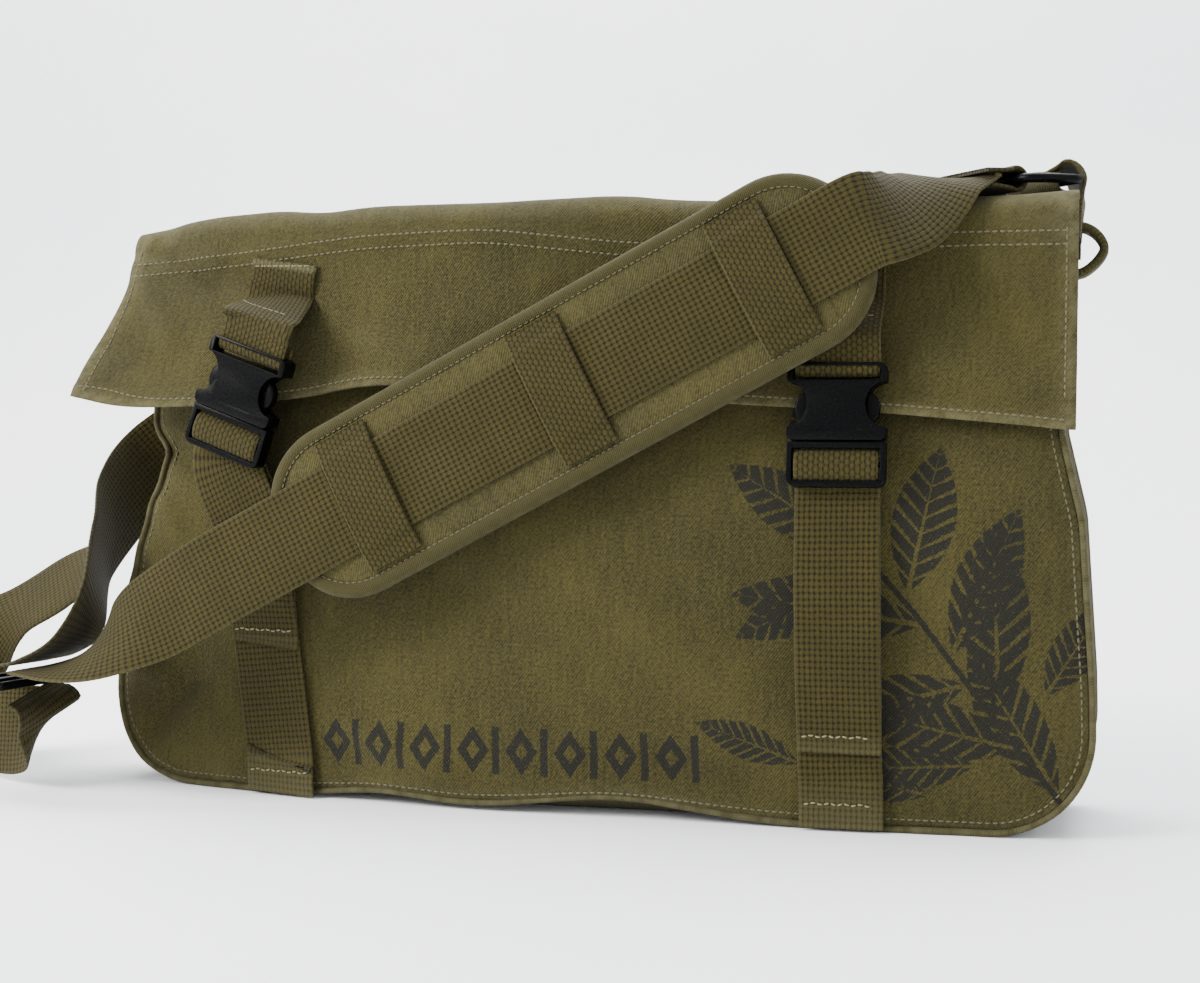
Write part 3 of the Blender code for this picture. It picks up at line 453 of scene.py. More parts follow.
def make_piece(name, points, faces, uv, finish, wear=None):
    """A mesh object in the row frame from points, faces and one UV in metres for each point."""
    mesh = bpy.data.meshes.new(name)
    mesh.from_pydata([tuple(p) for p in points], [], faces)
    if np_volume(mesh) < 0:
        mesh.flip_normals()
    corners = np.empty(len(mesh.loops), np.int32)
    mesh.loops.foreach_get("vertex_index", corners)
    layer = mesh.uv_layers.new(name="UVMap")
    layer.data.foreach_set("uv", np.asarray(uv, np.float32)[corners].ravel())
    values = np.zeros(len(points), np.float32) if wear is None else np.asarray(wear, np.float32)
    mesh.attributes.new("wear", "FLOAT", "POINT").data.foreach_set("value", values)
    mesh.polygons.foreach_set("use_smooth", np.ones(len(mesh.polygons), bool))
    mesh.materials.append(finish)
    made = bpy.data.objects.new(name, mesh)
    bpy.context.scene.collection.objects.link(made)
    return made


def np_volume(mesh):
    """Signed volume of a closed mesh."""
    mesh.calc_loop_triangles()
    points = np.empty(len(mesh.vertices) * 3, np.float32)
    mesh.vertices.foreach_get("co", points)
    corners = np.empty(len(mesh.loop_triangles) * 3, np.int32)
    mesh.loop_triangles.foreach_get("vertices", corners)
    a, b, c = np.moveaxis(points.reshape(-1, 3)[corners.reshape(-1, 3)], 1, 0).astype(float)
    return float(np.einsum("ij,ij->i", a, np.cross(b, c)).sum())


def grid_normals(grid):
    along = np.gradient(grid, axis=0)
    across = np.gradient(grid, axis=1)
    normals = np.cross(along, across)
    return normals / np.maximum(np.linalg.norm(normals, axis=2, keepdims=True), 1e-12)


def arc_lengths(line):
    return np.concatenate([[0.0], np.cumsum(np.linalg.norm(np.diff(line, axis=0), axis=1))])


def cloth(name, grid, thickness, finish, outward, uv=None, wear=None):
    """A cloth shell behind a grid of points, with a rounded rim. Outward is a direction its outside faces."""
    grid = np.asarray(grid, float)
    rows, columns = grid.shape[:2]
    normals = grid_normals(grid)
    middle = normals[rows // 2, columns // 2]
    if np.dot(middle, np.asarray(outward, float)) < 0:
        normals = -normals
    depth = np.broadcast_to(np.asarray(thickness, float), (rows, columns))[..., None]
    inner = grid - normals * depth
    if uv is None:
        u = arc_lengths(grid[rows // 2])
        v = arc_lengths(grid[:, columns // 2])
        uv = np.stack(np.meshgrid(u, v), axis=2)
    wear = np.zeros((rows, columns)) if wear is None else np.asarray(wear, float)
    points = [*grid.reshape(-1, 3), *inner.reshape(-1, 3)]
    uvs = [*uv.reshape(-1, 2), *uv.reshape(-1, 2)]
    worn = [*wear.ravel(), *wear.ravel()]
    layer = rows * columns
    faces = []
    for i in range(rows - 1):
        for j in range(columns - 1):
            a = i * columns + j
            b, c, d = a + 1, a + columns + 1, a + columns
            faces.append((a, b, c, d))
            faces.append((layer + a, layer + d, layer + c, layer + b))
    loop = [(0, j) for j in range(columns)] + [(i, columns - 1) for i in range(1, rows)]
    loop += [(rows - 1, j) for j in range(columns - 2, -1, -1)] + [(i, 0) for i in range(rows - 2, 0, -1)]
    rim = []
    for i, j in loop:
        inside = grid[min(max(i, 1), rows - 2), min(max(j, 1), columns - 2)]
        away = grid[i, j] - inside
        away -= normals[i, j] * np.dot(away, normals[i, j])
        away /= max(np.linalg.norm(away), 1e-9)
        rim.append(len(points))
        points.append((grid[i, j] + inner[i, j]) / 2 + away * depth[i, j] * 0.42)
        uvs.append(uv[i, j])
        worn.append(min(wear[i, j] + 0.35, 1.0))
    for k, (i, j) in enumerate(loop):
        after = (k + 1) % len(loop)
        here = i * columns + j
        following = loop[after][0] * columns + loop[after][1]
        faces.append((here, rim[k], rim[after], following))
        faces.append((rim[k], layer + here, layer + following, rim[after]))
    return make_piece(name, points, consistent(points, faces), uvs, finish, worn)


def consistent(points, faces):
    """The same faces, all wound one way."""
    data = bmesh.new()
    verts = [data.verts.new(tuple(p)) for p in points]
    for face in faces:
        data.faces.new([verts[index] for index in face])
    data.verts.index_update()
    bmesh.ops.recalc_face_normals(data, faces=data.faces)
    wound = [tuple(vert.index for vert in face.verts) for face in data.faces]
    data.free()
    return wound


def smooth_points(points, steps):
    """A smooth curve through the points, with this many samples between each two."""
    padded = [points[0] * 2 - points[1], *points, points[-1] * 2 - points[-2]]
    curve = []
    for i in range(1, len(padded) - 2):
        p0, p1, p2, p3 = padded[i - 1 : i + 3]
        for k in range(steps):
            t = k / steps
            linear = (p2 - p0) * t
            square = (2 * p0 - 5 * p1 + 4 * p2 - p3) * t**2
            cube = (3 * p1 - p0 - 3 * p2 + p3) * t**3
            curve.append(0.5 * (2 * p1 + linear + square + cube))
    curve.append(points[-1].copy())
    return curve


def evenly(points, extras, spacing):
    """Points and their matching directions, resampled at an even spacing."""
    line = np.array([tuple(p) for p in points])
    sides = np.array([tuple(s) for s in extras])
    lengths = arc_lengths(line)
    count = max(int(lengths[-1] / spacing), 4)
    at = np.linspace(0, lengths[-1], count + 1)
    line = np.stack([np.interp(at, lengths, line[:, k]) for k in range(3)], axis=1)
    sides = np.stack([np.interp(at, lengths, sides[:, k]) for k in range(3)], axis=1)
    return line, sides / np.linalg.norm(sides, axis=1, keepdims=True), at


def web_section(width, thickness, columns=14):
    """Points (across, depth) round a flat band with soft selvedges."""
    half = width / 2
    inset = thickness * 0.45
    flat = np.linspace(-half + inset, half - inset, columns)
    front = [(a, thickness / 2 * (1 - 0.10 * (a / half) ** 8)) for a in flat]
    right = [(half - inset * 0.25, thickness * 0.30), (half, 0.0), (half - inset * 0.25, -thickness * 0.30)]
    back = [(a, -b) for a, b in reversed(front)]
    left = [(-a, b) for a, b in reversed(right)]
    return front + right + back + left


def sweep(name, centres, across, section, finish, spacing=0.0022, wobble=0.00025, wear=None, closed=False):
    """A closed band: the section of (across, depth) points carried along a line of centres."""
    line, sides, lengths = evenly(centres, across, spacing)
    count = len(line)
    if closed:
        line, sides, lengths = line[:-1], sides[:-1], lengths[:-1]
        count -= 1
        tangents = np.roll(line, -1, axis=0) - np.roll(line, 1, axis=0)
    else:
        tangents = np.gradient(line, axis=0)
    tangents /= np.linalg.norm(tangents, axis=1, keepdims=True)
    sides = sides - tangents * np.einsum("ij,ij->i", sides, tangents)[:, None]
    sides /= np.linalg.norm(sides, axis=1, keepdims=True)
    normals = np.cross(tangents, sides)
    points, uvs, worn = [], [], []
    half = max(abs(a) for a, _ in section)
    size = len(section)
    for i in range(count):
        sway = noise.noise(Vector((lengths[i] * 40, half * 90, 3.0))) * wobble
        for a, b in section:
            points.append(line[i] + sides[i] * (a + sway) + normals[i] * b)
            uvs.append((a + half, lengths[i]))
            edge = abs(a) / half > 0.985
            worn.append(0.35 if edge else 0.0)
    if wear is not None:
        worn = [max(value, wear(lengths[k // size] / lengths[-1])) for k, value in enumerate(worn)]
    faces = []
    for i in range(count if closed else count - 1):
        low = i * size
        high = (i + 1) % count * size
        for k in range(size):
            after = (k + 1) % size
            faces.append((low + k, low + after, high + after, high + k))
    if not closed:
        faces.append(tuple(range(size)))
        faces.append(tuple((count - 1) * size + k for k in reversed(range(size))))
    return make_piece(name, points, faces, uvs, finish, worn)


def web(name, stations, width, finish, steps=8, thickness=WEBBING, **options):
    """Flat webbing through stations, each a centre and the direction of its width."""
    centres = smooth_points([Vector(centre) for centre, _ in stations], steps)
    across = smooth_points([Vector(side).normalized() for _, side in stations], steps)
    return sweep(name, centres, across, web_section(width, thickness), finish, **options)


def round_section(radius, sides=12, flatten=1.0):
    return [
        (radius * math.cos(2 * math.pi * k / sides), radius * flatten * math.sin(2 * math.pi * k / sides))
        for k in range(sides)
    ]


class Surface:
    """Finds places on a piece that is already made."""

    def __init__(self, *pieces):
        points, faces = [], []
        for piece in pieces:
            base = len(points)
            points += [v.co.copy() for v in piece.data.vertices]
            faces += [tuple(base + index for index in p.vertices) for p in piece.data.polygons]
        self.tree = BVHTree.FromPolygons(points, faces)

    def from_front(self, x, z, start=-0.30):
        place, normal, _, _ = self.tree.ray_cast(Vector((x, start, z)), Vector((0, 1, 0)))
        return place, normal

    def cast(self, origin, direction):
        place, normal, _, _ = self.tree.ray_cast(Vector(origin), Vector(direction))
        return place, normal


def stitches(name, lines, finish, pitch=0.0034, length=0.0024, radius=0.00046, sink=0.20):
    """Rows of thread: a short closed capsule at each stitch of each line of (point, normal) pairs."""
    points, faces, uvs = [], [], []
    rings, sides = (0.0, 0.16, 0.5, 0.84, 1.0), 6
    girth = (0.30, 0.82, 1.0, 0.82, 0.30)
    for line in lines:
        kept = [(p, n) for p, n in line if p is not None]
        if len(kept) < 2:
            continue
        track = np.array([tuple(p) for p, _ in kept])
        facing = np.array([tuple(n) for _, n in kept])
        lengths = arc_lengths(track)
        for index in range(int(lengths[-1] / pitch)):
            ends = (index * pitch, index * pitch + length)
            if ends[1] > lengths[-1]:
                break
            tips = [Vector([np.interp(e, lengths, track[:, k]) for k in range(3)]) for e in ends]
            up = Vector([np.interp(ends[0], lengths, facing[:, k]) for k in range(3)]).normalized()
            along = tips[1] - tips[0]
            if along.length < length * 0.3:
                continue
            side = along.cross(up).normalized()
            base = len(points)
            for share, wide in zip(rings, girth):
                centre = tips[0] + along * share + up * radius * (math.sin(math.pi * share) * 0.9 - sink)
                for k in range(sides):
                    angle = 2 * math.pi * k / sides
                    spoke = side * math.cos(angle) + up * math.sin(angle) * 0.8
                    points.append(centre + spoke * radius * wide)
                    uvs.append((radius * angle, share * length))
            for ring in range(len(rings) - 1):
                for k in range(sides):
                    low, after = base + ring * sides, (k + 1) % sides
                    faces.append((low + k, low + after, low + sides + after, low + sides + k))
            faces.append(tuple(base + k for k in reversed(range(sides))))
            faces.append(tuple(base + (len(rings) - 1) * sides + k for k in range(sides)))
    return make_piece(name, points, faces, uvs, finish)


def smooth_step(value):
    clamped = min(max(value, 0.0), 1.0)
    return clamped * clamped * (3 - 2 * clamped)


def rough(x, y, scale, seed=0.0):
    return noise.noise(Vector((x * scale, y * scale, seed)))


def crease(x, z, start, end, width, depth):
    """Height of a soft fold along a line from start to end, fading at both ends."""
    dx, dz = end[0] - start[0], end[1] - start[1]
    length = math.hypot(dx, dz)
    along = ((x - start[0]) * dx + (z - start[1]) * dz) / length**2
    off = ((x - start[0]) * dz - (z - start[1]) * dx) / length
    if not -0.2 < along < 1.2:
        return 0.0
    ends = smooth_step((along + 0.2) / 0.45) * smooth_step((1.2 - along) / 0.45)
    return depth * ends * math.exp(-((off / width) ** 2))


# The bag's body

LEFT_EDGE = (
    (0.0, 0.2425), (0.044, 0.2425), (0.085, 0.2380), (0.120, 0.2270),
    (0.150, 0.2150), (0.168, 0.2145), (0.180, 0.2225), (0.268, 0.2315),
)
RIGHT_EDGE = ((0.0, 0.2490), (0.066, 0.2475), (0.140, 0.2425), (0.180, 0.2330), (0.268, 0.2350))
FRONT_CREASES = (
    ((-0.218, 0.172), (-0.165, 0.150), 0.007, 0.0060),
    ((-0.222, 0.150), (-0.180, 0.105), 0.008, -0.0045),
    ((-0.228, 0.110), (-0.190, 0.070), 0.007, 0.0035),
    ((-0.190, 0.060), (-0.225, 0.020), 0.007, 0.0045),
    ((-0.205, 0.050), (-0.232, 0.062), 0.006, -0.0030),
    ((-0.110, 0.040), (-0.040, 0.015), 0.008, -0.0035),
    ((-0.080, 0.130), (-0.020, 0.090), 0.012, 0.0020),
    ((0.030, 0.110), (0.090, 0.060), 0.012, -0.0020),
    ((0.020, 0.030), (0.110, 0.012), 0.010, 0.0030),
    ((0.190, 0.170), (0.236, 0.150), 0.009, -0.0030),
    ((0.200, 0.050), (0.235, 0.090), 0.010, 0.0020),
)


def half_width(z, side):
    edge = RIGHT_EDGE if side > 0 else LEFT_EDGE
    return float(np.interp(z, [p[0] for p in edge], [p[1] for p in edge]))


def seam_lift(x):
    """How far the front's lower seam stands above the floor."""
    return 0.0085 * math.exp(-(((x - 0.030) / 0.050) ** 2)) + 0.0045 * math.exp(-(((x + 0.085) / 0.035) ** 2))


def front_surface(x, z):
    """Y of the front panel's outside."""
    lean = FRONT_LEAN * smooth_step((z - 0.12) / 0.15)
    recess = LEFT_RECESS * (max(0.0, -x) / 0.24) ** 1.6
    bulge = 0.003 * math.sin(math.pi * min(max(z / 0.27, 0.0), 1.0)) + 0.004 * (1 - (x / 0.24) ** 2)
    return FRONT_Y + lean + recess - bulge


def front_wrinkled(x, z):
    y = front_surface(x, z) + 0.0022 * rough(x, z, 14, 1.0) + 0.0008 * rough(x, z, 45, 2.0)
    for start, end, width, depth in FRONT_CREASES:
        y += crease(x, z, start, end, width, depth)
    side = 1 if x > 0 else -1
    rim = half_width(z, side) - abs(x)
    return y + 0.004 * math.exp(-((max(rim, 0) / 0.010) ** 2)) + 0.003 * math.exp(-((max(z, 0) / 0.008) ** 2))


def back_surface(x, z):
    lean = BACK_LEAN * smooth_step(z / 0.27)
    ripple = 0.0020 * rough(x, z, 12, 5.0) + 0.0008 * rough(x, z, 40, 6.0)
    side = 1 if x > 0 else -1
    rim = half_width(z, side) - abs(x)
    return BACK_Y - lean + ripple - 0.004 * math.exp(-((max(rim, 0) / 0.012) ** 2))


def outline_bottom(distance, side, inset):
    radius = CORNER_RADIUS - inset
    reach = distance - (half_width(CORNER_RADIUS, side) - CORNER_RADIUS)
    if reach <= 0:
        return inset
    return CORNER_RADIUS - math.sqrt(max(radius**2 - min(reach, radius) ** 2, 0.0))


def panel_grid(surface, columns, rows, lift):
    grid, uvs, wear = [], [], []
    for i in range(rows + 1):
        down = i / rows
        row, uv_row, wear_row = [], [], []
        for j in range(columns + 1):
            share = -math.cos(math.pi * j / columns)
            share = 0.5 * share + 0.5 * (2 * j / columns - 1)
            side = 1 if share > 0 else -1
            reach = half_width(CORNER_RADIUS, side) - SEAM
            low = outline_bottom(abs(share) * reach, side, SEAM) + lift(share * reach)
            z = MOUTH_Z + (low - MOUTH_Z) * down
            x = share * (half_width(z, side) - SEAM)
            row.append((x, surface(x, z), z))
            uv_row.append((x, z))
            rim = min(half_width(z, side) - abs(x), z - low + 0.003)
            wear_row.append(0.75 * math.exp(-((max(rim, 0) / 0.006) ** 2)))
        grid.append(row)
        uvs.append(uv_row)
        wear.append(wear_row)
    return np.array(grid), np.array(uvs), np.array(wear)


def outline_path(count_side=46, count_corner=20, count_bottom=90):
    """(x, z) down the right end, along the bottom and up the left end."""

    def down(side):
        path = []
        for step in range(count_side):
            z = MOUTH_Z + (CORNER_RADIUS - MOUTH_Z) * step / count_side
            path.append((side * half_width(z, side), z))
        centre = half_width(CORNER_RADIUS, side) - CORNER_RADIUS
        for step in range(count_corner + 1):
            angle = math.radians(90 * step / count_corner)
            x = side * (centre + CORNER_RADIUS * math.cos(angle))
            path.append((x, CORNER_RADIUS * (1 - math.sin(angle))))
        return path

    right, left = down(1), down(-1)
    left.reverse()
    run = left[0][0] - right[-1][0]
    bottom = [(right[-1][0] + run * step / count_bottom, 0.0) for step in range(1, count_bottom)]
    return right + bottom + left


def body():
    grid, uvs, wear = panel_grid(front_wrinkled, 170, 96, seam_lift)
    front = cloth("front_cloth", grid, CANVAS, CANVAS_PRINTED, (0, -1, 0), uvs, wear)
    grid, uvs, wear = panel_grid(back_surface, 120, 70, lambda x: 0.0)
    back = cloth("back_cloth", grid, CANVAS, CANVAS_FINISH, (0, 1, 0), uvs, wear)
    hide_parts("front_panel")
    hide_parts("back_panel")
    path = outline_path()
    lengths = arc_lengths(np.array(path))
    grid, uvs, wear = [], [], []
    across = 22
    for index, (x, z) in enumerate(path):
        before, after = path[max(index - 1, 0)], path[min(index + 1, len(path) - 1)]
        along = Vector((after[0] - before[0], 0, after[1] - before[1])).normalized()
        outward = Vector((-along.z, 0, along.x))
        if outward.dot(Vector((x, 0, z - 0.12))) < 0:
            outward = -outward
        low = max(1 - z / 0.01, 0.0)
        front_y = front_wrinkled(x * 0.985, max(z, 0.003)) + 0.0012
        back_y = back_surface(x * 0.985, max(z, 0.003)) - 0.0012
        row = []
        for step in range(across + 1):
            share = step / across
            sag = 0.0035 * math.sin(math.pi * share) * (0 if z < 0.01 else 1)
            sag *= 1 + 0.8 * rough(z, share * 0.2, 30, 9)
            point = Vector((x, front_y + (back_y - front_y) * share, z)) - outward * (sag + 0.0006)
            point.z += seam_lift(x) * low * (1 - smooth_step(share / 0.22))
            row.append(tuple(point))
        grid.append(row)
        uvs.append([(step / across * (back_y - front_y), lengths[index]) for step in range(across + 1)])
        wear.append([0.5 * math.exp(-((min(step, across - step) / 1.3) ** 2)) for step in range(across + 1)])
    gusset = cloth("gusset_cloth", grid, CANVAS, CANVAS_FINISH, (0, 0, -1), np.array(uvs), wear)
    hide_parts("gusset_left", "gusset_bottom", "gusset_right")
    made = [front, back, gusset]
    for name, surface, sign in (("front_piping", front_wrinkled, -1), ("back_piping", back_surface, 1)):
        centres, sides = [], []
        for x, z in path:
            lift = seam_lift(x) * max(1 - z / 0.01, 0.0) if sign < 0 else 0.0
            y = surface(x * 0.99, max(z, 0.003)) + sign * 0.0002
            centres.append(Vector((x, y, z + lift)))
            sides.append(Vector((0, 1, 0)))
        section = round_section(0.0021, 12, 0.72)
        piping = sweep(name, centres, sides, section, TAPE_FINISH, spacing=0.004)
        shift_inwards(piping, 0.0015)
        worn = np.full(len(piping.data.vertices), 0.85, np.float32)
        piping.data.attributes["wear"].data.foreach_set("value", worn)
        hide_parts(name.replace("piping", "binding"))
        made.append(piping)
    on_front, on_back = Surface(front), Surface(back)
    seam = inset_path(path, SEAM_STITCH_INSET)
    rows = [[on_front.from_front(x, z + seam_lift(x) * max(1 - z / 0.02, 0)) for x, z in seam]]
    mouth = [(x, MOUTH_Z - 0.010) for x in np.linspace(-0.225, 0.228, 90)]
    rows.append([on_front.from_front(x, z) for x, z in mouth])
    made.append(stitches("front_stitching", rows, THREAD_FINISH))
    rows = [[on_back.cast((x, 0.3, z), (0, -1, 0)) for x, z in line] for line in (seam, mouth)]
    made.append(stitches("back_stitching", rows, THREAD_FINISH))
    for piece in made:
        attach(piece, "root")


def inset_path(path, inset):
    moved = []
    for index, (x, z) in enumerate(path):
        before, after = path[max(index - 1, 0)], path[min(index + 1, len(path) - 1)]
        along = Vector((after[0] - before[0], after[1] - before[1])).normalized()
        inward = Vector((-along.y, along.x))
        if inward.dot(Vector((-x, 0.13 - z))) < 0:
            inward = -inward
        moved.append((x + inward.x * inset, max(z + inward.y * inset, inset)))
    return moved[:-2]


def shift_inwards(piece, distance):
    """Moves a piece's points towards the body's middle axis in x and z."""
    for vert in piece.data.vertices:
        x, z = vert.co.x, vert.co.z
        inner_x = math.copysign(max(abs(x) - distance, 0), x) if z > CORNER_RADIUS else x
        if z <= CORNER_RADIUS:
            side = 1 if x > 0 else -1
            centre = side * (half_width(CORNER_RADIUS, side) - CORNER_RADIUS)
            offset = Vector((x - centre if abs(x) > abs(centre) else 0.0, z - CORNER_RADIUS))
            if offset.length > 1e-6:
                offset = offset.normalized() * distance
            inner_x = x - offset.x
            vert.co.z = z - offset.y
        vert.co.x = inner_x


# Flap

TOP_WAVE = (
    (-0.237, -0.0050), (-0.215, -0.0010), (-0.1946, 0.0020), (-0.1477, 0.0038), (-0.129, 0.0012),
    (-0.0988, 0.0038), (-0.034, 0.0032), (0.0283, 0.0050), (0.0567, 0.0018), (0.12, -0.0005),
    (0.1807, 0.0006), (0.2065, 0.0004), (0.2375, 0.0026),
)
HEM = (
    (-0.240, 0.1975), (-0.2197, 0.1925), (-0.2099, 0.1908), (-0.176, 0.1914), (-0.1267, 0.1953),
    (-0.1013, 0.2005), (-0.0802, 0.2015), (-0.040, 0.1990), (0.0355, 0.1955), (0.0805, 0.1928),
    (0.1528, 0.1886), (0.2235, 0.1825), (0.2375, 0.1805),
)
TOP_SEAM = (
    (-0.235, 0.2600), (-0.197, 0.2625), (-0.160, 0.2650), (-0.128, 0.2680), (-0.098, 0.2705),
    (-0.035, 0.2715), (0.030, 0.2640), (0.060, 0.2620), (0.180, 0.2655), (0.2375, 0.2655),
)
FLAP_CREASES = (
    ((-0.225, 0.272), (-0.175, 0.248), 0.0050, 0.0042),
    ((-0.232, 0.258), (-0.195, 0.222), 0.0055, -0.0042),
    ((-0.235, 0.225), (-0.185, 0.203), 0.0060, 0.0030),
    ((-0.180, 0.262), (-0.120, 0.235), 0.0070, 0.0030),
    ((0.190, 0.262), (0.225, 0.235), 0.0070, -0.0026),
    ((0.000, 0.245), (0.050, 0.222), 0.0090, 0.0022),
    ((-0.100, 0.225), (-0.060, 0.205), 0.0080, -0.0035),
    ((0.060, 0.225), (0.110, 0.205), 0.0080, 0.0020),
    ((0.180, 0.240), (0.232, 0.205), 0.0100, 0.0022),
    ((0.165, 0.215), (0.220, 0.195), 0.0080, -0.0020),
)


def along_x(table, x):
    """A value read from a table of (x, value), rounded off between its points."""
    xs, values = zip(*table)
    near = [float(np.interp(x + offset, xs, values)) for offset in (-0.010, -0.005, 0.0, 0.005, 0.010)]
    return sum(near) / len(near)


def flap_front(x, z, down):
    flare = FLAP_FLARE * (max(0.0, -x - 0.10) / 0.14) ** 1.5 * down
    curl = -0.0035 * math.exp(-(((x + 0.080) / 0.030) ** 2)) * smooth_step((down - 0.6) / 0.4)
    y = front_surface(x, z) - FLAP_STANDOFF - flare + curl
    for start, end, width, depth in FLAP_CREASES:
        y += crease(x, z, start, end, width, depth)
    return y + 0.0016 * rough(x, z, 16, 11.0) * down + 0.0006 * rough(x, z, 50, 12.0)


def flap_line(x, depth):
    """The flap's cloth at x: up from the back seam, over the top and down to the hem."""
    top = FLAP_TOP + along_x(TOP_WAVE, x) - depth
    fold_z = top + depth - FLAP_FOLD
    fold_y = flap_front(x, fold_z, 0.0) + FLAP_FOLD
    back_y = HINGE.y + 0.0028 - depth
    line = []
    for step in range(5):
        z = FLAP_BACK_Z + (top - 0.006 - FLAP_BACK_Z) * step / 5
        line.append(Vector((x, back_y + 0.0008 * math.sin(step), z)))
    for step in range(5):
        angle = math.radians(90 * step / 4)
        line.append(Vector((x, back_y - 0.006 * (1 - math.cos(angle)), top - 0.006 * (1 - math.sin(angle)))))
    for step in range(1, 9):
        share = step / 9
        y = line[9].y + (fold_y - line[9].y) * share
        dip = 0.0016 * math.sin(math.pi * share) + 0.0012 * rough(x, y, 22, 15.0)
        line.append(Vector((x, y, top - dip)))
    radius = FLAP_FOLD - depth
    for step in range(9):
        angle = math.radians(90 + 90 * step / 8)
        line.append(Vector((x, fold_y + radius * math.cos(angle), fold_z + radius * math.sin(angle))))
    hem = along_x(HEM, x)
    spread = FLAP_SPREAD * smooth_step((-x - 0.12) / 0.12)
    for step in range(1, 31):
        down = step / 30
        z = fold_z + (hem - fold_z) * down
        slide = spread * smooth_step((down - 0.15) / 0.85)
        seam = along_x(TOP_SEAM, x)
        lap = 0.0008 * (smooth_step((z - seam + 0.0045) / 0.002) - smooth_step((z - seam - 0.0045) / 0.002))
        hem_roll = 0.0009 * smooth_step((hem + 0.008 - z) / 0.003)
        raised = lap + hem_roll if depth == 0 else 0
        line.append(Vector((x - slide, flap_front(x, z, down) + depth - raised, z)))
    return line


def flap():
    left, right = FLAP_LEFT_X, FLAP_RIGHT_X
    pieces = {}
    for name, node, depth, inset, finish in (
        ("flap_cloth", "flap_panel", 0.0, 0.0, CANVAS_FINISH),
        # The facing wears the canvas darkened as painted shade for the inside of the flap.
        ("flap_facing", "flap_lining", FLAP_CLOTH + 0.0002, 0.0035, CANVAS_INSIDE_PAINTED_SHADE),
    ):
        columns = 150
        grid, uvs, wear = [], [], []
        for j in range(columns + 1):
            x = left + inset + (right - left - 2 * inset) * j / columns
            line = smooth_points(flap_line(x, depth), 2)
            grid.append([tuple(p) for p in line])
            uvs.append([(x, -run) for run in arc_lengths(np.array(grid[-1]))])
            side = min(x - left, right - x)
            hem = line[-1].z
            worn = []
            for point in line:
                low = 0.9 * math.exp(-(((point.z - hem) / 0.0035) ** 2)) if point.y < 0.02 else 0.0
                edge = 0.85 * math.exp(-((side / 0.006) ** 2))
                fold = 0.35 * math.exp(-(((point.z - FLAP_TOP) / 0.006) ** 2))
                corner = 0.5 * math.exp(-((side / 0.03) ** 2)) * smooth_step((point.z - 0.25) / 0.03)
                worn.append(min(low + edge + fold + corner, 1.0))
            wear.append(worn)
        piece = cloth(name, grid, FLAP_CLOTH, finish, (0, -0.2, 1), np.array(uvs), wear)
        pieces[name] = piece
        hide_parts(node)
    outer = pieces["flap_cloth"]
    surface = Surface(outer)
    rows = []
    xs = np.linspace(left + 0.001, right - 0.001, 140)
    for offset in (-TOP_SEAM_HALF_GAP, TOP_SEAM_HALF_GAP):
        rows.append([surface.from_front(x, along_x(TOP_SEAM, x) + offset) for x in xs])
    hem_row = []
    for x in np.linspace(left - FLAP_SPREAD + 0.003, right - 0.003, 150):
        hem_row.append(surface.from_front(x, along_x(HEM, x) + HEM_STITCH_RISE))
    rows.append(hem_row)
    for x, spread in ((left + 0.0045, FLAP_SPREAD), (right - 0.0045, 0.0)):
        down = np.linspace(0.270, 0.192, 40)
        rows.append([surface.from_front(x - spread * smooth_step((0.262 - z) / 0.08), z) for z in down])
    sewn = stitches("flap_stitching", rows, THREAD_FINISH)
    for piece in (outer, pieces["flap_facing"]):
        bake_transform(piece)
    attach(sewn, "flap")
    lengths = arc_lengths(np.array([tuple(p) for p in flap_line(0.05, 0.0)]))
    return surface


# Closures


def closure_matrix(side):
    spec = CLOSURES[side]
    turn = Matrix.Rotation(spec["yaw"], 4, "Z") @ Matrix.Rotation(spec["tilt"], 4, "Y")
    return Matrix.Translation(spec["bar"]) @ turn @ Matrix.Rotation(spec["lean"], 4, "X")


